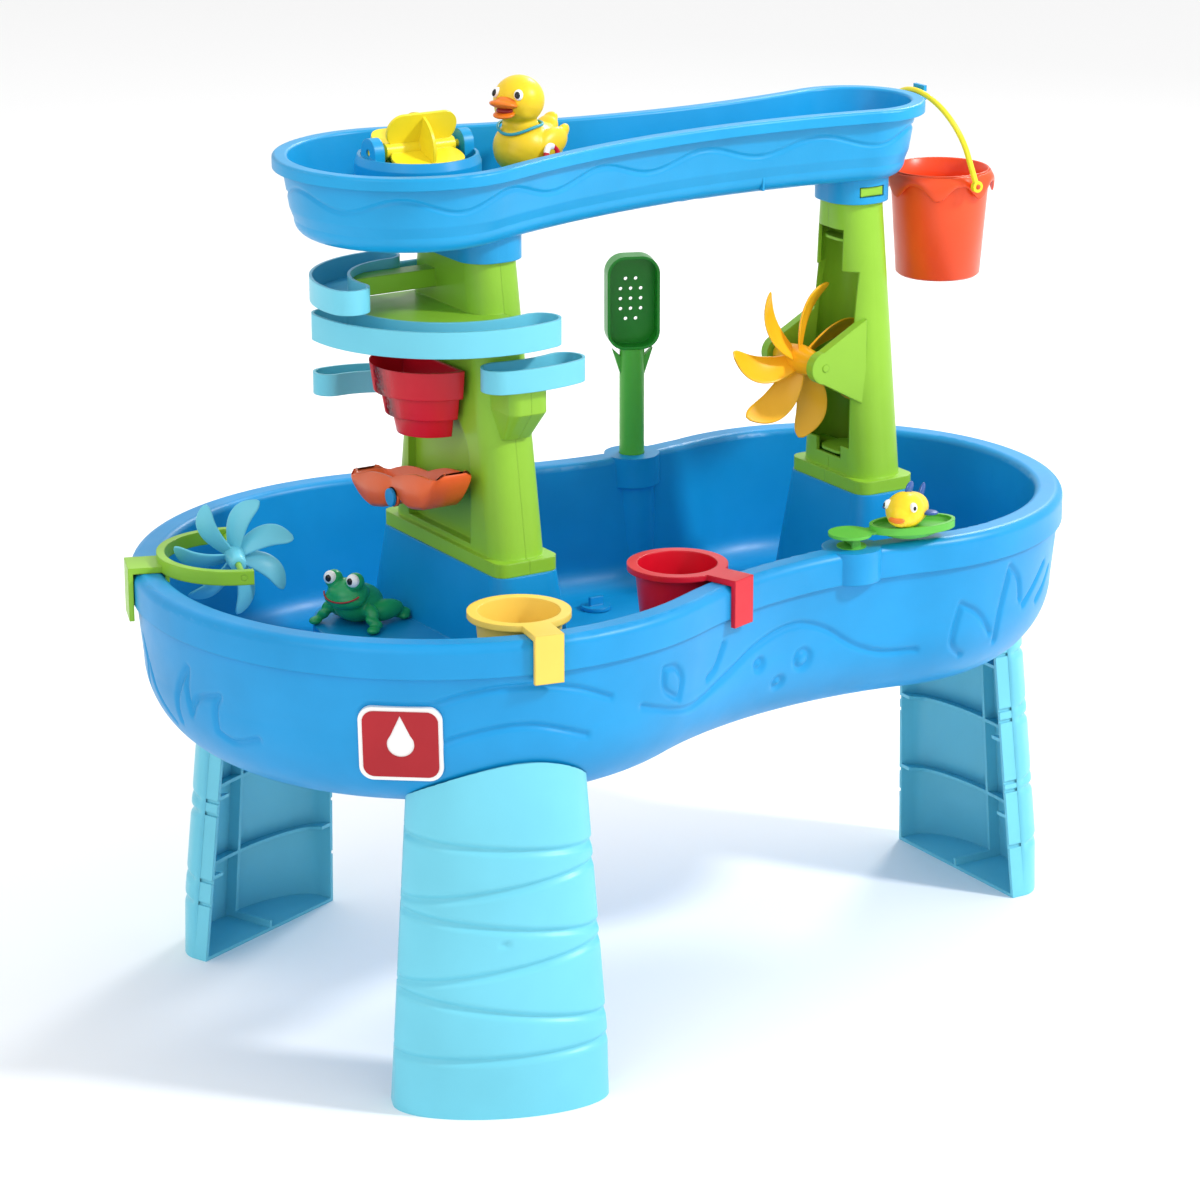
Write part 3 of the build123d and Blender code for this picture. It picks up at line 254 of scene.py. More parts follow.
# ================================================================ two-lobe outline
class TwoLobe:
    """Plan outline of two lobes and a waist, walked both ways from its -X end; the front is positive."""

    def __init__(self, xl, rl, xr, rr, half):
        a = (rl**2 - rr**2 - xl**2 + xr**2) / (2 * (xr - xl))
        b = (rl - rr) / (xr - xl)
        qa = b * b
        qb = 2 * (a - xl) * b - 2 * (rl - half)
        qc = (a - xl) ** 2 - rl**2 + half**2
        self.rw = (-qb - math.sqrt(qb * qb - 4 * qa * qc)) / (2 * qa)
        self.xw, self.yw = a + b * self.rw, half + self.rw
        self.xl, self.rl, self.xr, self.rr = xl, rl, xr, rr
        left = (self.xw - xl) / (rl + self.rw)
        right = (self.xw - xr) / (rr + self.rw)
        self.turn_l = math.pi - math.acos(left)
        self.psi = (-math.asin(left), -math.asin(right))
        self.turn_r = math.acos(right)
        self.s1 = rl * self.turn_l
        self.s2 = self.s1 + self.rw * (self.psi[1] - self.psi[0])
        self.end = self.s2 + rr * self.turn_r

    def at(self, s, inset):
        """Points and outward normals at walk s, moved in by inset."""
        t = np.abs(s)
        side = np.where(s < 0, 1.0, -1.0)
        a = math.pi - t / self.rl
        left = (self.xl + (self.rl - inset) * np.cos(a), (self.rl - inset) * np.sin(a), np.cos(a), np.sin(a))
        p = self.psi[0] + (t - self.s1) / self.rw
        deep = self.rw + inset
        waist = (self.xw + deep * np.sin(p), self.yw - deep * np.cos(p), -np.sin(p), np.cos(p))
        b = self.turn_r - (t - self.s2) / self.rr
        far = self.rr - inset
        right = (self.xr + far * np.cos(b), far * np.sin(b), np.cos(b), np.sin(b))
        runs = zip(left, waist, right)
        pick = [np.where(t < self.s1, lf, np.where(t < self.s2, w, rt)) for lf, w, rt in runs]
        return pick[0], pick[1] * side, pick[2], pick[3] * side

    def depth(self, x, y):
        """How far a plan point lies inside the outline."""
        y = np.abs(y)
        ang = np.arctan2(x - self.xw, self.yw - y)
        lobes = np.maximum(self.rl - np.hypot(x - self.xl, y), self.rr - np.hypot(x - self.xr, y))
        waist = np.hypot(x - self.xw, y - self.yw) - self.rw
        return np.where((ang > self.psi[0]) & (ang < self.psi[1]), waist, lobes)


BASIN = TwoLobe(BASIN_LO.x + LOBE_L, LOBE_L, BASIN_HI.x - LOBE_R, LOBE_R, WAIST)
TRAY_RIGHT = TRAY_HI.x - TRAY_HOOK - TRAY_LOBE_R
TRAY = TwoLobe(TRAY_LO.x + TRAY_LOBE_L, TRAY_LOBE_L, TRAY_RIGHT, TRAY_LOBE_R, TRAY_WAIST)
UNDER = RIM_Z - RIM_DROP
SIDE_H = UNDER - HULL_Z - HULL_R


def hull_profile(v):
    """Inset, height and outward direction on the hull's side, v metres down from the rim's underside."""
    slope = math.hypot(SIDE_H, HULL_TURN - HULL_STEP)
    t = np.clip(v / slope, 0, 1)
    a = np.clip((v - slope) / HULL_R, 0, math.pi / 2)
    side = HULL_STEP + (HULL_TURN - HULL_STEP) * t
    inset = np.where(v < slope, side, HULL_TURN + HULL_R * (1 - np.cos(a)))
    z = np.where(v < slope, UNDER - SIDE_H * t, HULL_Z + HULL_R * (1 - np.sin(a)))
    out = np.where(v < slope, 1.0, np.cos(a))
    up = np.where(v < slope, -0.098, -np.sin(a))
    size = np.hypot(out, up)
    return inset, z, out / size, up / size


def hull_depth(z):
    """The hull's inset at a height."""
    side = HULL_STEP + (HULL_TURN - HULL_STEP) * (UNDER - z) / SIDE_H
    drop = np.clip((HULL_Z + HULL_R - z) / HULL_R, 0, 1)
    return np.where(drop > 0, HULL_TURN + HULL_R * (1 - np.sqrt(1 - drop**2)), side)


def down(z):
    """Walk down the hull's side to height z."""
    slope = math.hypot(SIDE_H, HULL_TURN - HULL_STEP)
    if z >= HULL_Z + HULL_R:
        return slope * (UNDER - z) / SIDE_H
    return slope + HULL_R * math.asin((HULL_Z + HULL_R - z) / HULL_R)


# Drawn lines of the hull: walk along the front and height, both in mm.
HILLS = (
    ((281, 400), (313, 416), (362, 430), (411, 432), (459, 423), (498, 407)),
    ((303, 369), (352, 386), (412, 391), (473, 373)),
)
STREAM = ((540, 388), (586, 373), (630, 367), (682, 383), (719, 400), (753, 410), (785, 411), (819, 398),
          (851, 376), (886, 362), (925, 359))
SPRIGS = (
    ((568, 420), (572, 398), (596, 382)),
    ((568, 420), (586, 417), (598, 402), (596, 382)),
    ((648, 388), (660, 396), (671, 418)),
)
REEDS_RIGHT = (
    ((985, 344), (968, 362), (976, 402)),
    ((976, 402), (1000, 388), (1022, 362)),
    ((1034, 350), (1032, 372), (1044, 430)),
    ((1044, 430), (1062, 412), (1070, 388)),
    ((1078, 380), (1096, 392), (1124, 414)),
    ((1112, 376), (1132, 386), (1150, 402)),
)
REEDS_LEFT = (
    ((-20, 345), (-58, 372), (-92, 412)),
    ((-92, 412), (-84, 384), (-88, 362)),
    ((2, 352), (8, 384), (34, 416)),
    ((34, 416), (28, 392), (32, 368)),
    ((32, 368), (48, 388), (82, 398)),
    ((82, 398), (74, 384), (73, 360)),
    ((73, 360), (96, 354), (130, 364)),
)
BUBBLES = (((790, 372), 9), ((730, 380), 5), ((762, 353), 5.5))
BADGE_S = 284.5 * MM
BADGE_Z = RIM_Z - 100.0 * MM
BADGE_HALF = (40.5 * MM, 42.5 * MM)


def hull_grooves(s, v):
    """Groove depth over the whole side; the back carries the front's drawing in mirror."""
    t = np.abs(s)
    depth = np.zeros(s.shape)

    def cut(path, u, width=GROOVE_W):
        line = smooth_path([(a * MM, down(b * MM)) for a, b in path])
        lo, hi = line.min(0) - 4 * width, line.max(0) + 4 * width
        near = (u > lo[0]) & (u < hi[0]) & (v > lo[1]) & (v < hi[1])
        d = distance_to(line, u[near], v[near])
        depth[near] = np.maximum(depth[near], GROOVE * np.exp(-((d / width) ** 2)))

    for path in HILLS + (STREAM,) + SPRIGS + REEDS_RIGHT:
        cut(path, t)
    for path in REEDS_LEFT:
        cut(path, s)
    for (a, b), r in BUBBLES:
        d = np.abs(np.hypot(t - a * MM, v - down(b * MM)) - r * MM)
        depth = np.maximum(depth, GROOVE * np.exp(-((d / GROOVE_W) ** 2)))
    return depth


def badge_pocket(s, v):
    """Rounded-square pocket that the badge sits in, from 0 to 1."""
    r = 16 * MM
    dx = np.abs(s - BADGE_S) - BADGE_HALF[0] + r
    dy = np.abs(v - down(BADGE_Z)) - BADGE_HALF[1] + r
    d = np.hypot(np.maximum(dx, 0), np.maximum(dy, 0)) + np.minimum(np.maximum(dx, dy), 0) - r
    return 1 / (1 + np.exp(np.clip(d / (0.9 * MM), -30, 30)))


def build_hull_face():
    """Outer face of the basin's side, with its moulded drawing."""
    step = 1.9 * MM
    cols = int(2 * BASIN.end / step)
    total = down(HULL_Z + 0.4 * MM)
    rows = int(total / step)
    along = np.linspace(-BASIN.end, BASIN.end, cols, endpoint=False)
    s, v = np.meshgrid(along, np.linspace(0.2 * MM, total, rows))
    inset, z, out, up = hull_profile(v)
    fade = np.clip((total - v) / (34 * MM), 0, 1)
    lift = SKIN * fade**0.7 - hull_grooves(s, v) * fade - 0.25 * MM * (1 - fade)
    lift -= (lift - 0.2 * MM) * badge_pocket(s, v)
    x, y, nx, ny = BASIN.at(s, inset)
    points = [x + nx * out * lift, y + ny * out * lift, z + up * lift * (v > 4 * MM)]
    verts = np.stack(points, -1).reshape(-1, 3)
    faces = grid_faces(rows, cols, True)
    tidy_normals(mesh_object("basin_hull_face", verts, faces, "basin_blue", "table"))


# ================================================================ tray side
TRAY_SIDE = ((11.0, 5.0), (20.0, 62.0))     # inset and drop at the top and the foot of the side
WAVE_PITCH = 128.0 * MM
WAVE_H = 7.0 * MM


def build_tray_face():
    """Outer face of the tray's side, with a wave cut along it."""
    step = 1.6 * MM
    cols = int(2 * TRAY.end / step)
    rows = 42
    s, v = np.meshgrid(np.linspace(-TRAY.end, TRAY.end, cols, endpoint=False), np.linspace(0, 1, rows))
    (i0, d0), (i1, d1) = TRAY_SIDE
    inset = (i0 + (i1 - i0) * v) * MM
    z = TRAY_Z - (d0 + (d1 - d0) * v) * MM
    waves = round(2 * TRAY.end / WAVE_PITCH)
    line = TRAY_Z - 31 * MM + WAVE_H * np.cos(s * math.pi * waves / TRAY.end)
    groove = 2.0 * MM * np.exp(-(((z - line) / (2.0 * MM)) ** 2))
    fade = np.clip((1 - v) / 0.2, 0, 1)
    lift = 2.3 * MM * fade - groove - 0.2 * MM * (1 - fade)
    x, y, nx, ny = TRAY.at(s, inset)
    verts = np.stack([x + nx * lift, y + ny * lift, z], -1).reshape(-1, 3)
    faces = grid_faces(rows, cols, True)
    tidy_normals(mesh_object("tray_side_face", verts, faces, "tray_blue", "table"))


# ================================================================ legs
LEG_HALF = (106.0 * MM, 80.0 * MM)          # half width at the floor and at the top
LEG_DEEP = (66.0 * MM, 62.0 * MM)
LEG_LEAN = 27.0 * MM
LEG_H = 380.0 * MM
LEG_FLAT = 16.0 * MM
LEG_TURN = 112.6
LEG_Y = 241.0 * MM
LEG_X = (-285.0 * MM, 448.0 * MM)
SLATS = ((61, 1), (106, -10), (148, 9), (190, -8), (228, 8), (268, -6))
SLAT_OUT = 4.2 * MM


def leg_point(a, z, lift):
    """Point on the leg's bulged face at angle a and height z, in the leg's own frame."""
    t = z / LEG_H
    half = LEG_HALF[0] + (LEG_HALF[1] - LEG_HALF[0]) * t
    deep = LEG_DEEP[0] + (LEG_DEEP[1] - LEG_DEEP[0]) * t - LEG_FLAT
    nx, ny = np.cos(a) / deep, np.sin(a) / half
    size = np.hypot(nx, ny)
    x = LEG_FLAT - LEG_LEAN * t + deep * np.cos(a) + lift * nx / size
    return x, half * np.sin(a) + lift * ny / size


def leg_lift(a, y, z):
    """Rounded slats: full between the grooves and nothing at the edges."""
    gap = np.full(z.shape, 1.0)
    for height, tilt in SLATS:
        line = height * MM + y * math.tan(math.radians(tilt))
        gap = np.minimum(gap, np.abs(z - line))
    edge = np.clip((math.pi / 2 - np.abs(a)) / 0.2, 0, 1)
    slat = 1 - np.exp(-((gap / (3.4 * MM)) ** 2)) * edge
    foot = np.clip(z / (64 * MM), 0, 1)
    dimple = np.exp(-((np.hypot(y, z - 176 * MM) / (3.2 * MM)) ** 2))
    return (0.2 * MM + SLAT_OUT * slat * np.sqrt(edge) * (1 - 0.9 * dimple)) * foot


def build_leg_faces():
    for name, x0, y0, turn in (("front", LEG_X[0], -LEG_Y, -LEG_TURN), ("back", LEG_X[0], LEG_Y, LEG_TURN),
                               ("end", LEG_X[1], 0.0, 0.0)):
        place = Matrix.Translation((x0, y0, 0)) @ Matrix.Rotation(math.radians(turn), 4, "Z")
        a_line = np.linspace(-math.pi / 2, math.pi / 2, 84)
        c, sn = math.cos(math.radians(turn)), math.sin(math.radians(turn))
        top = np.full(a_line.shape, 0.25)
        for _ in range(256):
            x, y = leg_point(a_line, top, 0)
            inside = BASIN.depth(x0 + c * x - sn * y, y0 + sn * x + c * y) - hull_depth(top) > -SKIN
            free = ~(inside & (top > HULL_Z)) & (top < 0.375)
            top = np.where(free, top + 0.5 * MM, top)
        a, t = np.meshgrid(a_line, np.linspace(0, 1, 200))
        z = t * top[None, :]
        _, y = leg_point(a, z, 0)
        x, y = leg_point(a, z, leg_lift(a, y, z))
        verts = np.stack([x, y, z], -1).reshape(-1, 3)
        obj = mesh_object("leg_slats_" + name, verts, grid_faces(200, len(a_line)), "aqua", "table")
        tidy_normals(placed(obj, place))


# ================================================================ bladed wheels
def joint_frame(name):
    """Rotation that takes +Z to a joint's axis, at the joint's place."""
    joint = JOINTS[name]
    axis = Vector(joint["axis"])
    return Matrix.Translation(joint["pos_m"]) @ axis.to_track_quat("Z", "X").to_matrix().to_4x4()


def blade_points(reach, hub, wide, sweep, pitch, dish, start):
    """One curved blade as a grid: narrow at the hub, broad past the middle and rounded off."""
    rows, cols = 15, 7
    verts = []
    for i in range(rows):
        u = i / (rows - 1)
        r = hub * 0.6 + (reach - hub * 0.6) * u
        half = wide / 2 * (0.42 + 0.58 * math.sin(math.pi * min(1.0, 0.12 + 0.62 * u)) ** 1.3)
        if u > 0.72:
            half *= math.sqrt(max(0.02, 1 - ((u - 0.72) / 0.285) ** 2))
        lean = math.radians(pitch * (1 - 0.35 * u))
        turn = start + sweep * u * u
        for j in range(cols):
            w = 2 * j / (cols - 1) - 1
            across = half * w
            cup = dish * (w * w - 0.4) * math.sin(math.pi * min(u * 1.1, 1))
            side = across * math.cos(lean) + cup * math.sin(lean)
            axial = across * math.sin(lean) - cup * math.cos(lean)
            c, s = math.cos(turn), math.sin(turn)
            verts.append((r * c - side * s, r * s + side * c, axial))
    return verts, grid_faces(rows, cols)


def turned(name, profile, slot, body, count=48, matrix=None):
    """Closed ring of (radius, height) points turned about Z."""
    verts = []
    turns = [2 * math.pi * k / count for k in range(count)]
    for r, z in profile:
        verts += [(r * math.cos(a), r * math.sin(a), z) for a in turns]
    obj = mesh_object(name, verts, grid_faces(len(profile), count, True), slot, body)
    if matrix:
        placed(obj, matrix)
    return tidy_normals(obj)


def build_bladed(name, joint, node, body, slot, reach, wide, hub_r, half_len, bore, sweep, pitch):
    place = joint_frame(joint)
    for k in range(7):
        verts, faces = blade_points(reach, hub_r, wide, sweep, pitch, 2.6 * MM, 2 * math.pi * k / 7)
        obj = mesh_object(f"{name}_blade_{k + 1}", verts, faces, slot, body)
        thicken(placed(obj, place), 2.4 * MM, 2)
        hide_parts(node)
    r, h, e = hub_r, half_len, 1.5 * MM
    mid = r * 1.12
    ring = [(bore, h), (r * 0.72, h), (r * 0.86, h - e), (r * 0.9, h * 0.7), (mid, 0.0), (r * 0.9, -h * 0.7),
            (r * 0.86, e - h), (r * 0.72, -h), (bore, -h), (bore, h)]
    hub = turned(name + "_hub", ring, slot, body, 40, place)
    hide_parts(node)


def build_wheels():
    build_bladed("tower_spinner", "tower_rotor_turn", "tower_spinner", "tower_rotor", "amber",
                 85.5 * MM, 34 * MM, 14 * MM, 34.4 * MM, 4.1 * MM, 0.42, 48)
    build_bladed("rim_spinner", "rim_rotor_turn", "rim_spinner", "rim_rotor", "aqua",
                 61.0 * MM, 25 * MM, 9.5 * MM, 31.8 * MM, 3.1 * MM, -0.42, -46)


# ================================================================ soft-edged toys
def blob(name, balls, slot, body, matrix, voxel=1.1, rounds=10, floor=None):
    """Ellipsoids melted into one skin. Each ball is centre, radii and turns about X, Y and Z."""
    work = bmesh.new()
    for centre, radii, turns in balls:
        about = [Matrix.Rotation(math.radians(angle), 4, axis) for angle, axis in zip(turns, "XYZ")]
        spin = about[2] @ about[1] @ about[0]
        size = Matrix.Diagonal((radii[0], radii[1], radii[2], 1))
        where = Matrix.Translation(centre) @ spin @ size
        bmesh.ops.create_icosphere(work, subdivisions=4, radius=1.0, matrix=where)
    if floor is not None:
        for vert in work.verts:
            vert.co.z = max(vert.co.z, floor)
    mesh = bpy.data.meshes.new(name)
    work.to_mesh(mesh)
    work.free()
    mesh.transform(matrix @ Matrix.Scale(MM, 4))
    obj = bpy.data.objects.new(name, mesh)
    bpy.context.scene.collection.objects.link(obj)
    mesh.materials.append(COLOURS[slot] if isinstance(slot, str) else slot)
    melt = obj.modifiers.new("melt", "REMESH")
    melt.mode = "VOXEL"
    melt.voxel_size = voxel * MM
    melt.use_smooth_shade = True
    ease = obj.modifiers.new("ease", "SMOOTH")
    ease.factor = 0.6
    ease.iterations = rounds
    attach(obj, body)
    return obj


def middle_of(node):
    lo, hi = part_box(node)
    return (lo + hi) / 2


def seat_frame(x, y, z, yaw):
    return Matrix.Translation((x, y, z)) @ Matrix.Rotation(math.radians(yaw), 4, "Z")


NO = (0, 0, 0)
DUCK_XY = (-103 * MM, 0)
DUCK_YAW = -155.0
FROG_XY = (-274 * MM, 52 * MM)
FROG_YAW = -150.0
LEVER_YAW = -12.0
FISH_ALONG = 62 * MM        # the fish's place along the lever
FISH_TURN = 44
FISH_SCALE = 1.18
BUCKET_R = 52.5 * MM
BUCKET_PIN = 67.8 * MM      # half span of the pins the bail hangs on
SCALLOPS = 7


def build_duck():
    place = seat_frame(*DUCK_XY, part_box("duck_body")[0].z, DUCK_YAW)
    body = [((-2, 0, 27), (41, 31, 27), NO), ((8, 0, 30), (30, 29, 27), NO),
            ((-32, 0, 42), (15, 13, 9), (0, 38, 0)), ((-41, 0, 50), (8, 8, 5), (0, 38, 0)),
            ((12, 0, 52), (18, 18, 14), NO), ((14, 0, 77), (25, 25.5, 24.5), NO),
            ((20, 11, 69), (13, 11, 11), NO), ((20, -11, 69), (13, 11, 11), NO)]
    for s in (1, -1):
        body += [((-4, s * 27, 35), (22, 7.5, 14), (s * 8, 14, -s * 6)),
                 ((-22, s * 27, 42), (11, 5, 7), (0, 30, 0))]
    skin = blob("duck_skin", body, "toy_yellow", "duck", place, 1.1, 8, 0.0)
    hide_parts("duck_body")
    bill = [((41, 0, 76.5), (11.5, 15, 4.2), (0, -14, 0)), ((36, 0, 78), (9, 12, 6), NO),
            ((40, 0, 66.5), (9.5, 11.5, 3.2), (0, 12, 0))]
    beak = blob("duck_beak", bill, "bill_orange", "duck", place, 0.8, 4)
    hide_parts("duck_bill")
    blob("duck_tongue", [((38.5, 0, 70.5), (8, 9, 3.6), NO)], MOUTH, "duck", place, 0.7, 3)
    for s in (1, -1):
        side = "left" if s > 0 else "right"
        tilt = (0, -24, s * 34)
        eye = [((33.6, s * 13, 86), (3.6, 4.6, 5.6), tilt)]
        blob("duck_eye_" + side, eye, "white", "duck", place, 0.6, 2)
        pupil = [((36.3, s * 13.6, 86.2), (2.0, 2.9, 3.7), tilt)]
        blob("duck_pupil_" + side, pupil, PUPIL, "duck", place, 0.45, 2)
    cord = bpy.data.curves.new("duck_cord", "CURVE")
    cord.dimensions = "3D"
    cord.bevel_depth = 1.5 * MM
    cord.bevel_resolution = 4
    line = cord.splines.new("POLY")
    line.points.add(47)
    for k in range(48):
        a = 2 * math.pi * k / 48
        droop = -7 * max(0.0, math.cos(a)) ** 2
        x, y = (12 + 22.4 * math.cos(a)) * MM, 21.6 * math.sin(a) * MM
        line.points[k].co = (x, y, (53 + droop) * MM, 1)
    line.use_cyclic_u = True
    obj = bpy.data.objects.new("duck_cord", cord)
    bpy.context.scene.collection.objects.link(obj)
    cord.materials.append(COLOURS["teal"])
    cord.transform(place)
    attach(obj, "duck")
    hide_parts("duck_scarf")
    lifebuoy(place)


def lifebuoy(place):
    """Small painted ring at the duck's side, red and white by quarters."""
    for k in range(4):
        rows, cols = 9, 14
        verts = []
        for i in range(rows):
            a = math.pi / 2 * (k + i / (rows - 1)) + 0.4
            for j in range(cols):
                b = 2 * math.pi * j / cols
                r = 9.5 + 3.6 * math.cos(b)
                verts.append((r * math.cos(a), 2.6 * math.sin(b), r * math.sin(a)))
        colour = "red" if k % 2 else "white"
        obj = mesh_object(f"duck_ring_{k + 1}", verts, grid_faces(rows, cols, True), colour, "duck")
        tilt = Matrix.Translation((6, 33.5, 24)) @ Matrix.Rotation(math.radians(12), 4, "X")
        placed(obj, place @ Matrix.Scale(MM, 4) @ tilt)
        tidy_normals(obj)


def build_frog():
    place = seat_frame(*FROG_XY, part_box("frog_body")[0].z, FROG_YAW)
    body = [((-2, 0, 21), (32, 23, 20), (0, -10, 0)), ((17, 0, 36), (22, 21, 15), NO),
            ((23, 0, 32), (17, 22, 11), NO)]
    for s in (1, -1):
        body += [((-9, s * 24, 14), (25, 11, 11), (0, 0, -s * 24)),
                 ((-28, s * 31, 8), (13, 6, 6), (0, 0, -s * 50)),
                 ((-33, s * 35, 4), (9, 6.5, 4), (0, 0, s * 20)),
                 ((12, s * 22, 18), (7, 12, 7), (s * -24, 0, -s * 14)),
                 ((17, s * 30, 9), (6, 10, 5), (s * -30, 0, s * 30)), ((25, s * 34, 4), (8, 6.5, 4), NO),
                 ((23, s * 12.5, 50.5), (10, 9.2, 9.8), NO)]
    skin = blob("frog_skin", body, "frog_green", "frog", place, 1.1, 8, 0.0)
    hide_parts("frog_body")
    for s in (1, -1):
        side = "left" if s > 0 else "right"
        ball = [((28.6, s * 13.2, 53.2), (5.9, 7.0, 7.2), NO)]
        eye = blob("frog_eye_" + side, ball, "white", "frog", place, 0.7, 2)
        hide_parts("frog_eyes")
        pupil = [((33.4, s * 12.6, 53.8), (2.2, 3.3, 3.8), NO)]
        blob("frog_pupil_" + side, pupil, PUPIL, "frog", place, 0.45, 2)
    mouth = bpy.data.curves.new("frog_smile", "CURVE")
    mouth.dimensions = "3D"
    mouth.bevel_depth = 0.9 * MM
    mouth.bevel_resolution = 3
    line = mouth.splines.new("POLY")
    line.points.add(20)
    for k in range(21):
        a = math.radians(-68 + 136 * k / 20)
        rise = 32.0 + 6.0 * (abs(k - 10) / 10) ** 2
        line.points[k].co = (*((22.6 + 18.0 * math.cos(a)) * MM, 22.0 * math.sin(a) * MM, rise * MM), 1)
    obj = bpy.data.objects.new("frog_smile", mouth)
    bpy.context.scene.collection.objects.link(obj)
    mouth.materials.append(MOUTH)
    mouth.transform(place)
    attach(obj, "frog")


def build_fish():
    pin = middle_of("launcher_pin")
    lever = seat_frame(pin.x, pin.y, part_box("fish_body")[0].z, LEVER_YAW)
    place = lever @ seat_frame(FISH_ALONG, 0, 0, FISH_TURN) @ Matrix.Scale(FISH_SCALE, 4)
    body = [((-2, 0, 14.5), (28, 15.5, 14.5), NO), ((-9, 0, 16), (18, 16.5, 16), NO),
            ((-20, 0, 12), (9, 11, 8), NO), ((18, 0, 14), (12, 8, 8), NO)]
    skin = blob("fish_skin", body, "toy_yellow", "fish", place, 1.0, 6, 0.0)
    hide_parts("fish_body")
    fins = [((28, 0, 22), (10, 2.0, 5), (0, -44, 0)), ((28, 0, 8), (10, 2.0, 5), (0, 40, 0)),
            ((0, 0, 33), (9, 2.0, 5.5), (0, -14, 0))]
    for s in (1, -1):
        fins.append(((3, s * 18, 13), (7, 7.5, 1.8), (0, 0, s * -26)))
    fin = blob("fish_fin_set", fins, "fin_blue", "fish", place, 0.8, 3)
    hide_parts("fish_fins")
    blob("fish_lips", [((-27.5, 0, 12), (3.4, 7.5, 3.2), NO)], "bill_orange", "fish", place, 0.6, 3)
    for s in (1, -1):
        side = "left" if s > 0 else "right"
        turn = (0, 0, s * -40)
        eye = [((-18.5, s * 11.4, 22), (4.2, 3.4, 4.4), turn)]
        blob("fish_eye_" + side, eye, "white", "fish", place, 0.55, 2)
        pupil = [((-20.6, s * 13.4, 22.2), (1.9, 1.6, 2.2), turn)]
        blob("fish_pupil_" + side, pupil, PUPIL, "fish", place, 0.4, 2)


# ================================================================ bucket
def build_bucket():
    """Pail with a rolled rim and a skirt of hanging scallops."""
    lo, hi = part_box("bucket")
    cx, top = (lo.x + hi.x) / 2, hi.z
    height = hi.z - lo.z
    place = Matrix.Translation((cx, 0, top))
    count = 144
    r = BUCKET_R
    profile = [(0.5 * MM, -height), (r - 11 * MM, -height), (r - 8.2 * MM, -height + 2.5 * MM),
               (r - 1.6 * MM, -20 * MM), (r - 0.6 * MM, -2.0 * MM), (r - 0.4 * MM, -0.6 * MM),
               (r - 1.4 * MM, 0.0), (r - 2.6 * MM, -0.8 * MM), (r - 4.2 * MM, -20 * MM),
               (r - 10.6 * MM, -height + 4 * MM), (r - 13 * MM, -height + 2.6 * MM),
               (0.5 * MM, -height + 2.5 * MM)]
    pail = turned("bucket_wall", profile, "bucket_orange", "pail", 96, place)
    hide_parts("bucket")
    verts = []
    bands = 7
    for i in range(bands):
        u = i / (bands - 1)
        for k in range(count):
            a = 2 * math.pi * k / count
            wave = (0.5 + 0.5 * math.cos(SCALLOPS * a + math.pi)) ** 1.3
            drop = (2.0 + (9.0 + 16.0 * wave) * u) * MM
            out = r + (-0.6 + 5.6 * math.sin(math.pi / 2 * min(1, u * 1.4)) - 2.2 * u) * MM
            verts.append((out * math.cos(a), out * math.sin(a), -drop))
    skirt = mesh_object("bucket_skirt", verts, grid_faces(bands, count, True), "bucket_orange", "pail")
    thicken(placed(skirt, place), 1.6 * MM, 1, -1.0)
    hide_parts("bucket")
    for s in (1, -1):
        y0, y1 = sorted((s * (r - 1.5 * MM), s * BUCKET_PIN))
        ring = [(0.1 * MM, y0), (2.5 * MM, y0), (2.5 * MM, y1), (0.1 * MM, y1)]
        pivot = Matrix.Translation((cx, 0, JOINTS["bucket_swing"]["pos_m"][2]))
        pin = turned("bucket_pin_" + ("back" if s > 0 else "front"), ring, "bucket_orange", "pail", 20,
                     pivot @ Matrix.Rotation(math.radians(-90), 4, "X"))
        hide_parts("bucket")


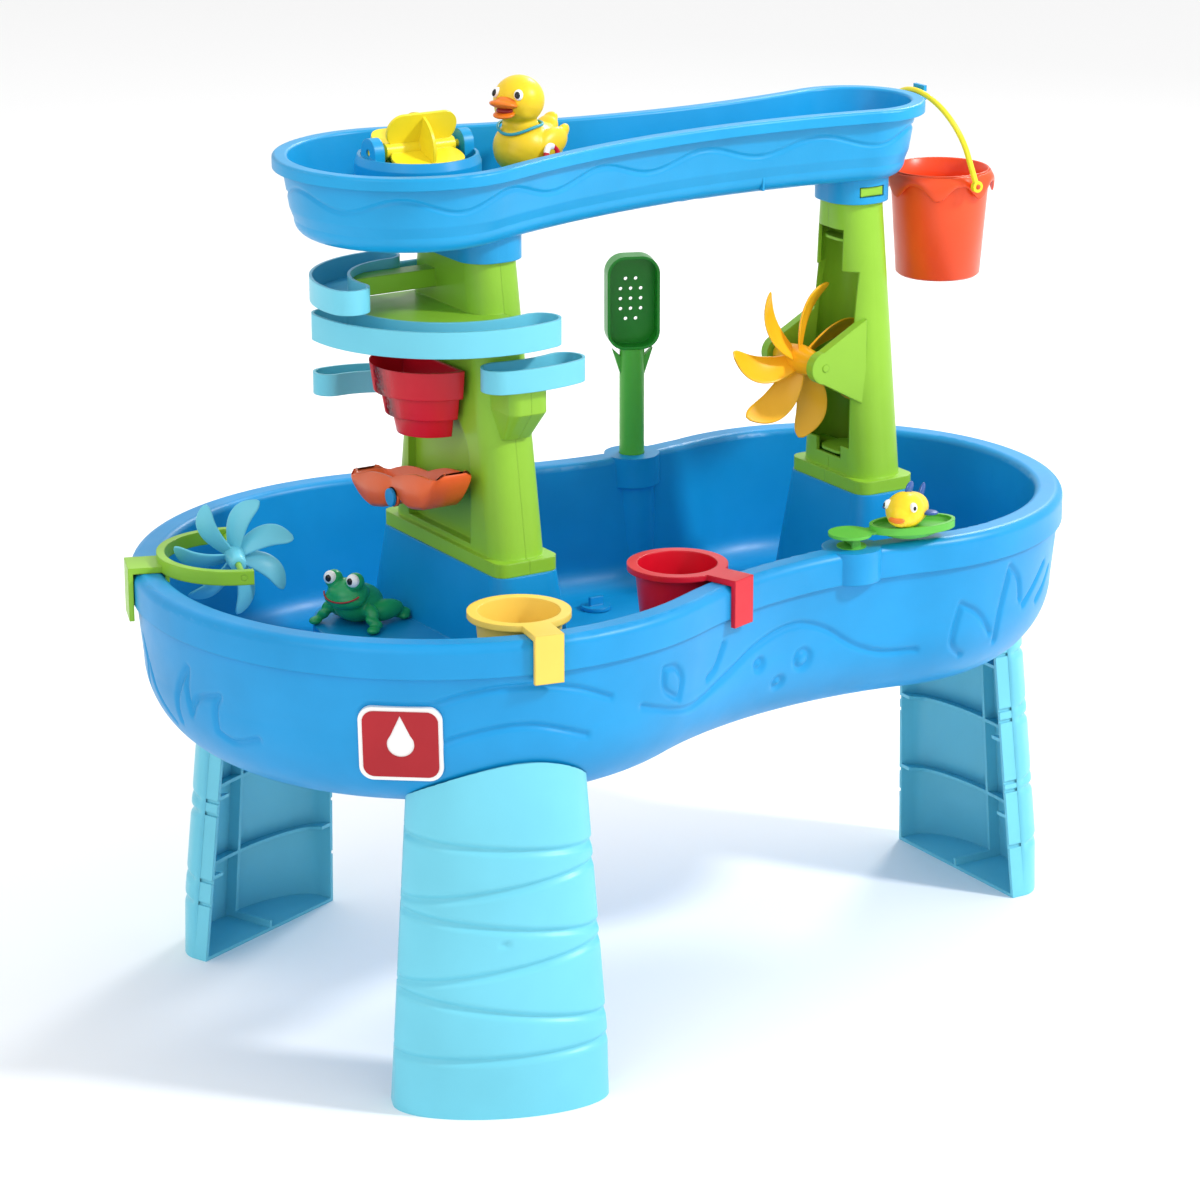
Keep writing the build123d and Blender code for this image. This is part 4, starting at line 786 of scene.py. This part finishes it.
# ================================================================ seesaw and launcher dish
def build_seesaw():
    """Tipping scoop: two rounded pockets either side of a saddle, with thin walls."""
    joint = JOINTS["seesaw_tip"]
    half, wide, wall = 92 * MM, 44 * MM, 3 * MM
    tilt = Matrix.Rotation(math.radians(-11.7), 4, "X")
    place = Matrix.Translation(joint["pos_m"]) @ tilt

    def floor_z(u):
        """Height of the scoop's underside at walk u from -1 to 1."""
        a = abs(u)
        bowl = -12 + 14 * math.exp(-((a / 0.16) ** 2))
        end = 32 * max(0.0, (a - 0.56) / 0.44) ** 1.7
        return (bowl + end) * MM

    def rim_z(u):
        a = abs(u)
        return (19 + 4.5 * math.sin(math.pi * min(1, a / 0.85))) * MM

    rows = 61
    verts = []
    for i in range(rows):
        u = 2 * i / (rows - 1) - 1
        y = half * u
        w = wide / 2
        if abs(u) > 0.9:
            w *= math.sqrt(max(0.0, 1 - ((abs(u) - 0.9) / 0.13) ** 2))
        lo_z, hi_z = floor_z(u), max(rim_z(u), floor_z(u) + 2 * MM)
        inner = min(lo_z + wall * 1.2, hi_z)
        verts += [(-w, y, hi_z), (-w, y, lo_z + 4 * MM), (-w + 4 * MM, y, lo_z), (w - 4 * MM, y, lo_z),
                  (w, y, lo_z + 4 * MM), (w, y, hi_z), (w - wall, y, hi_z), (w - wall, y, inner + 3 * MM),
                  (w - wall - 3 * MM, y, inner), (-w + wall + 3 * MM, y, inner),
                  (-w + wall, y, inner + 3 * MM), (-w + wall, y, hi_z)]
    obj = mesh_object("seesaw_scoop", verts, grid_faces(rows, 12, True) + [tuple(range(12))[::-1],
                      tuple(range((rows - 1) * 12, rows * 12))], "orange", "tipper")
    tidy_normals(placed(obj, place))
    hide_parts("seesaw")
    for s in (1, -1):
        x0, x1 = s * wide / 2 - s * wall, s * wide / 2
        ring = [(6.1 * MM, x0), (10 * MM, x0), (10 * MM, x1), (6.1 * MM, x1), (6.1 * MM, x0)]
        boss = turned("seesaw_boss_" + ("inner" if s > 0 else "outer"), ring, "orange", "tipper", 40,
                      place @ Matrix.Rotation(math.radians(90), 4, "Y"))
        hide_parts("seesaw")


def build_dish():
    """Bowl with a turned lip, set on the launcher's lever."""
    pin = middle_of("launcher_pin")
    place = seat_frame(pin.x, pin.y, pin.z, LEVER_YAW)
    rings, count = 14, 72
    verts = [(66 * MM, 0, -3.0 * MM)]
    for i in range(1, rings + 1):
        u = i / rings
        for k in range(count):
            a = 2 * math.pi * k / count
            tip = 1 + 0.10 * math.cos(a) ** 8
            bowl = -3.0 + 15.5 * u**2.4
            verts.append(((66 + 42 * u * tip * math.cos(a)) * MM, 24.6 * u * math.sin(a) * MM, bowl * MM))
    faces = [(0, 1 + k, 1 + (k + 1) % count) for k in range(count)]
    for i in range(rings - 1):
        for k in range(count):
            d = (k + 1) % count
            base = 1 + i * count
            faces.append((base + k, base + d, base + count + d, base + count + k))
    bowl = mesh_object("launcher_bowl", verts, faces, "stem_green", "lever")
    thicken(tidy_normals(placed(bowl, place)), 1.8 * MM)


# ================================================================ floor ripples
def bead(name, points, width, height, slot, body):
    """Low rounded rib along a run of points."""
    line = [Vector(p) for p in points]
    verts = []
    n = len(line)
    up = Vector((0, 0, 1))
    for i, p in enumerate(line):
        ahead = (line[min(i + 1, n - 1)] - line[max(i - 1, 0)]).normalized()
        side = ahead.cross(up).normalized()
        taper = math.sqrt(max(0.0, 1 - (2 * i / (n - 1) - 1) ** 12))
        for k in range(9):
            a = math.pi * k / 8
            rise = height * taper * math.sin(a) - 0.3 * MM
            verts.append(p + side * (width / 2 * taper * math.cos(a)) + up * rise)
    return tidy_normals(mesh_object(name, verts, grid_faces(n, 9), slot, body))


def build_ripples():
    """Curved ripples moulded in the wet floor of the big bay and the small bay."""
    z = RIM_Z - 142 * MM
    for k, (r, a0, a1) in enumerate(((222, 118, 222), (190, 122, 214), (158, 128, 196))):
        pts = [(BASIN.xl + r * MM * math.cos(math.radians(a)), r * MM * math.sin(math.radians(a)), z)
               for a in np.linspace(a0, a1, 50)]
        bead(f"floor_ripple_left_{k + 1}", pts, 20 * MM, 3.2 * MM, "basin_blue", "table")
    for k, r in enumerate((150, 122)):
        pts = [(BASIN.xr + r * MM * math.cos(math.radians(a)), r * MM * math.sin(math.radians(a)), z)
               for a in np.linspace(-62, 62, 40)]
        bead(f"floor_ripple_right_{k + 1}", pts, 18 * MM, 3.0 * MM, "basin_blue", "table")


# ================================================================ stage
def build_stage():
    mesh = bpy.data.meshes.new("floor")
    size = 30.0
    corners = [(-size, -size, 0), (size, -size, 0), (size, size, 0), (-size, size, 0)]
    mesh.from_pydata(corners, [], [(0, 1, 2, 3)])
    floor = bpy.data.objects.new("floor", mesh)
    bpy.context.scene.collection.objects.link(floor)
    mat = bpy.data.materials.new("paper")
    mat.use_nodes = True
    shader = mat.node_tree.nodes["Principled BSDF"]
    shader.inputs["Base Color"].default_value = (0.93, 0.93, 0.93, 1)
    shader.inputs["Roughness"].default_value = 0.9
    mesh.materials.append(mat)


def area_light(name, place, aim, size, power, tint=(1, 1, 1)):
    data = bpy.data.lights.new(name, "AREA")
    data.shape = "DISK"
    data.size = size
    data.energy = power
    data.color = tint
    light = bpy.data.objects.new(name, data)
    light.location = place
    light.rotation_mode = "QUATERNION"
    light.rotation_quaternion = (Vector(aim) - Vector(place)).to_track_quat("-Z", "Y")
    bpy.context.scene.collection.objects.link(light)


def build_light():
    middle = (0, 0, 0.45)
    area_light("key", (2.2, -2.6, 3.2), middle, 0.5, 120)
    area_light("back_left", (2.6, 1.8, 2.8), middle, 0.8, 50)
    area_light("fill", (-3.2, -1.6, 2.2), middle, 2.6, 22)
    world = bpy.data.worlds.new("studio")
    bpy.context.scene.world = world
    world.use_nodes = True
    sky = world.node_tree.nodes["Background"]
    sky.inputs["Color"].default_value = (1, 1, 1, 1)
    sky.inputs["Strength"].default_value = 0.95


def build_camera():
    data = bpy.data.cameras.new("camera")
    data.lens = 121.64
    data.sensor_width = 36.0
    cam = bpy.data.objects.new("camera", data)
    turn, dip = math.radians(31.9), math.radians(17.714)
    cam.location = (-2.11867, -3.37376, 1.66222)
    cam.rotation_mode = "QUATERNION"
    look = Vector((math.sin(turn) * math.cos(dip), math.cos(turn) * math.cos(dip), -math.sin(dip)))
    cam.rotation_quaternion = look.to_track_quat("-Z", "Y")
    bpy.context.scene.collection.objects.link(cam)
    bpy.context.scene.camera = cam
    bpy.context.scene.view_settings.view_transform = "Standard"


paint_nodes()
build_hull_face()
build_tray_face()
build_leg_faces()
build_wheels()
build_duck()
build_frog()
build_fish()
build_bucket()
build_seesaw()
build_dish()
build_ripples()
build_stage()
build_light()
build_camera()
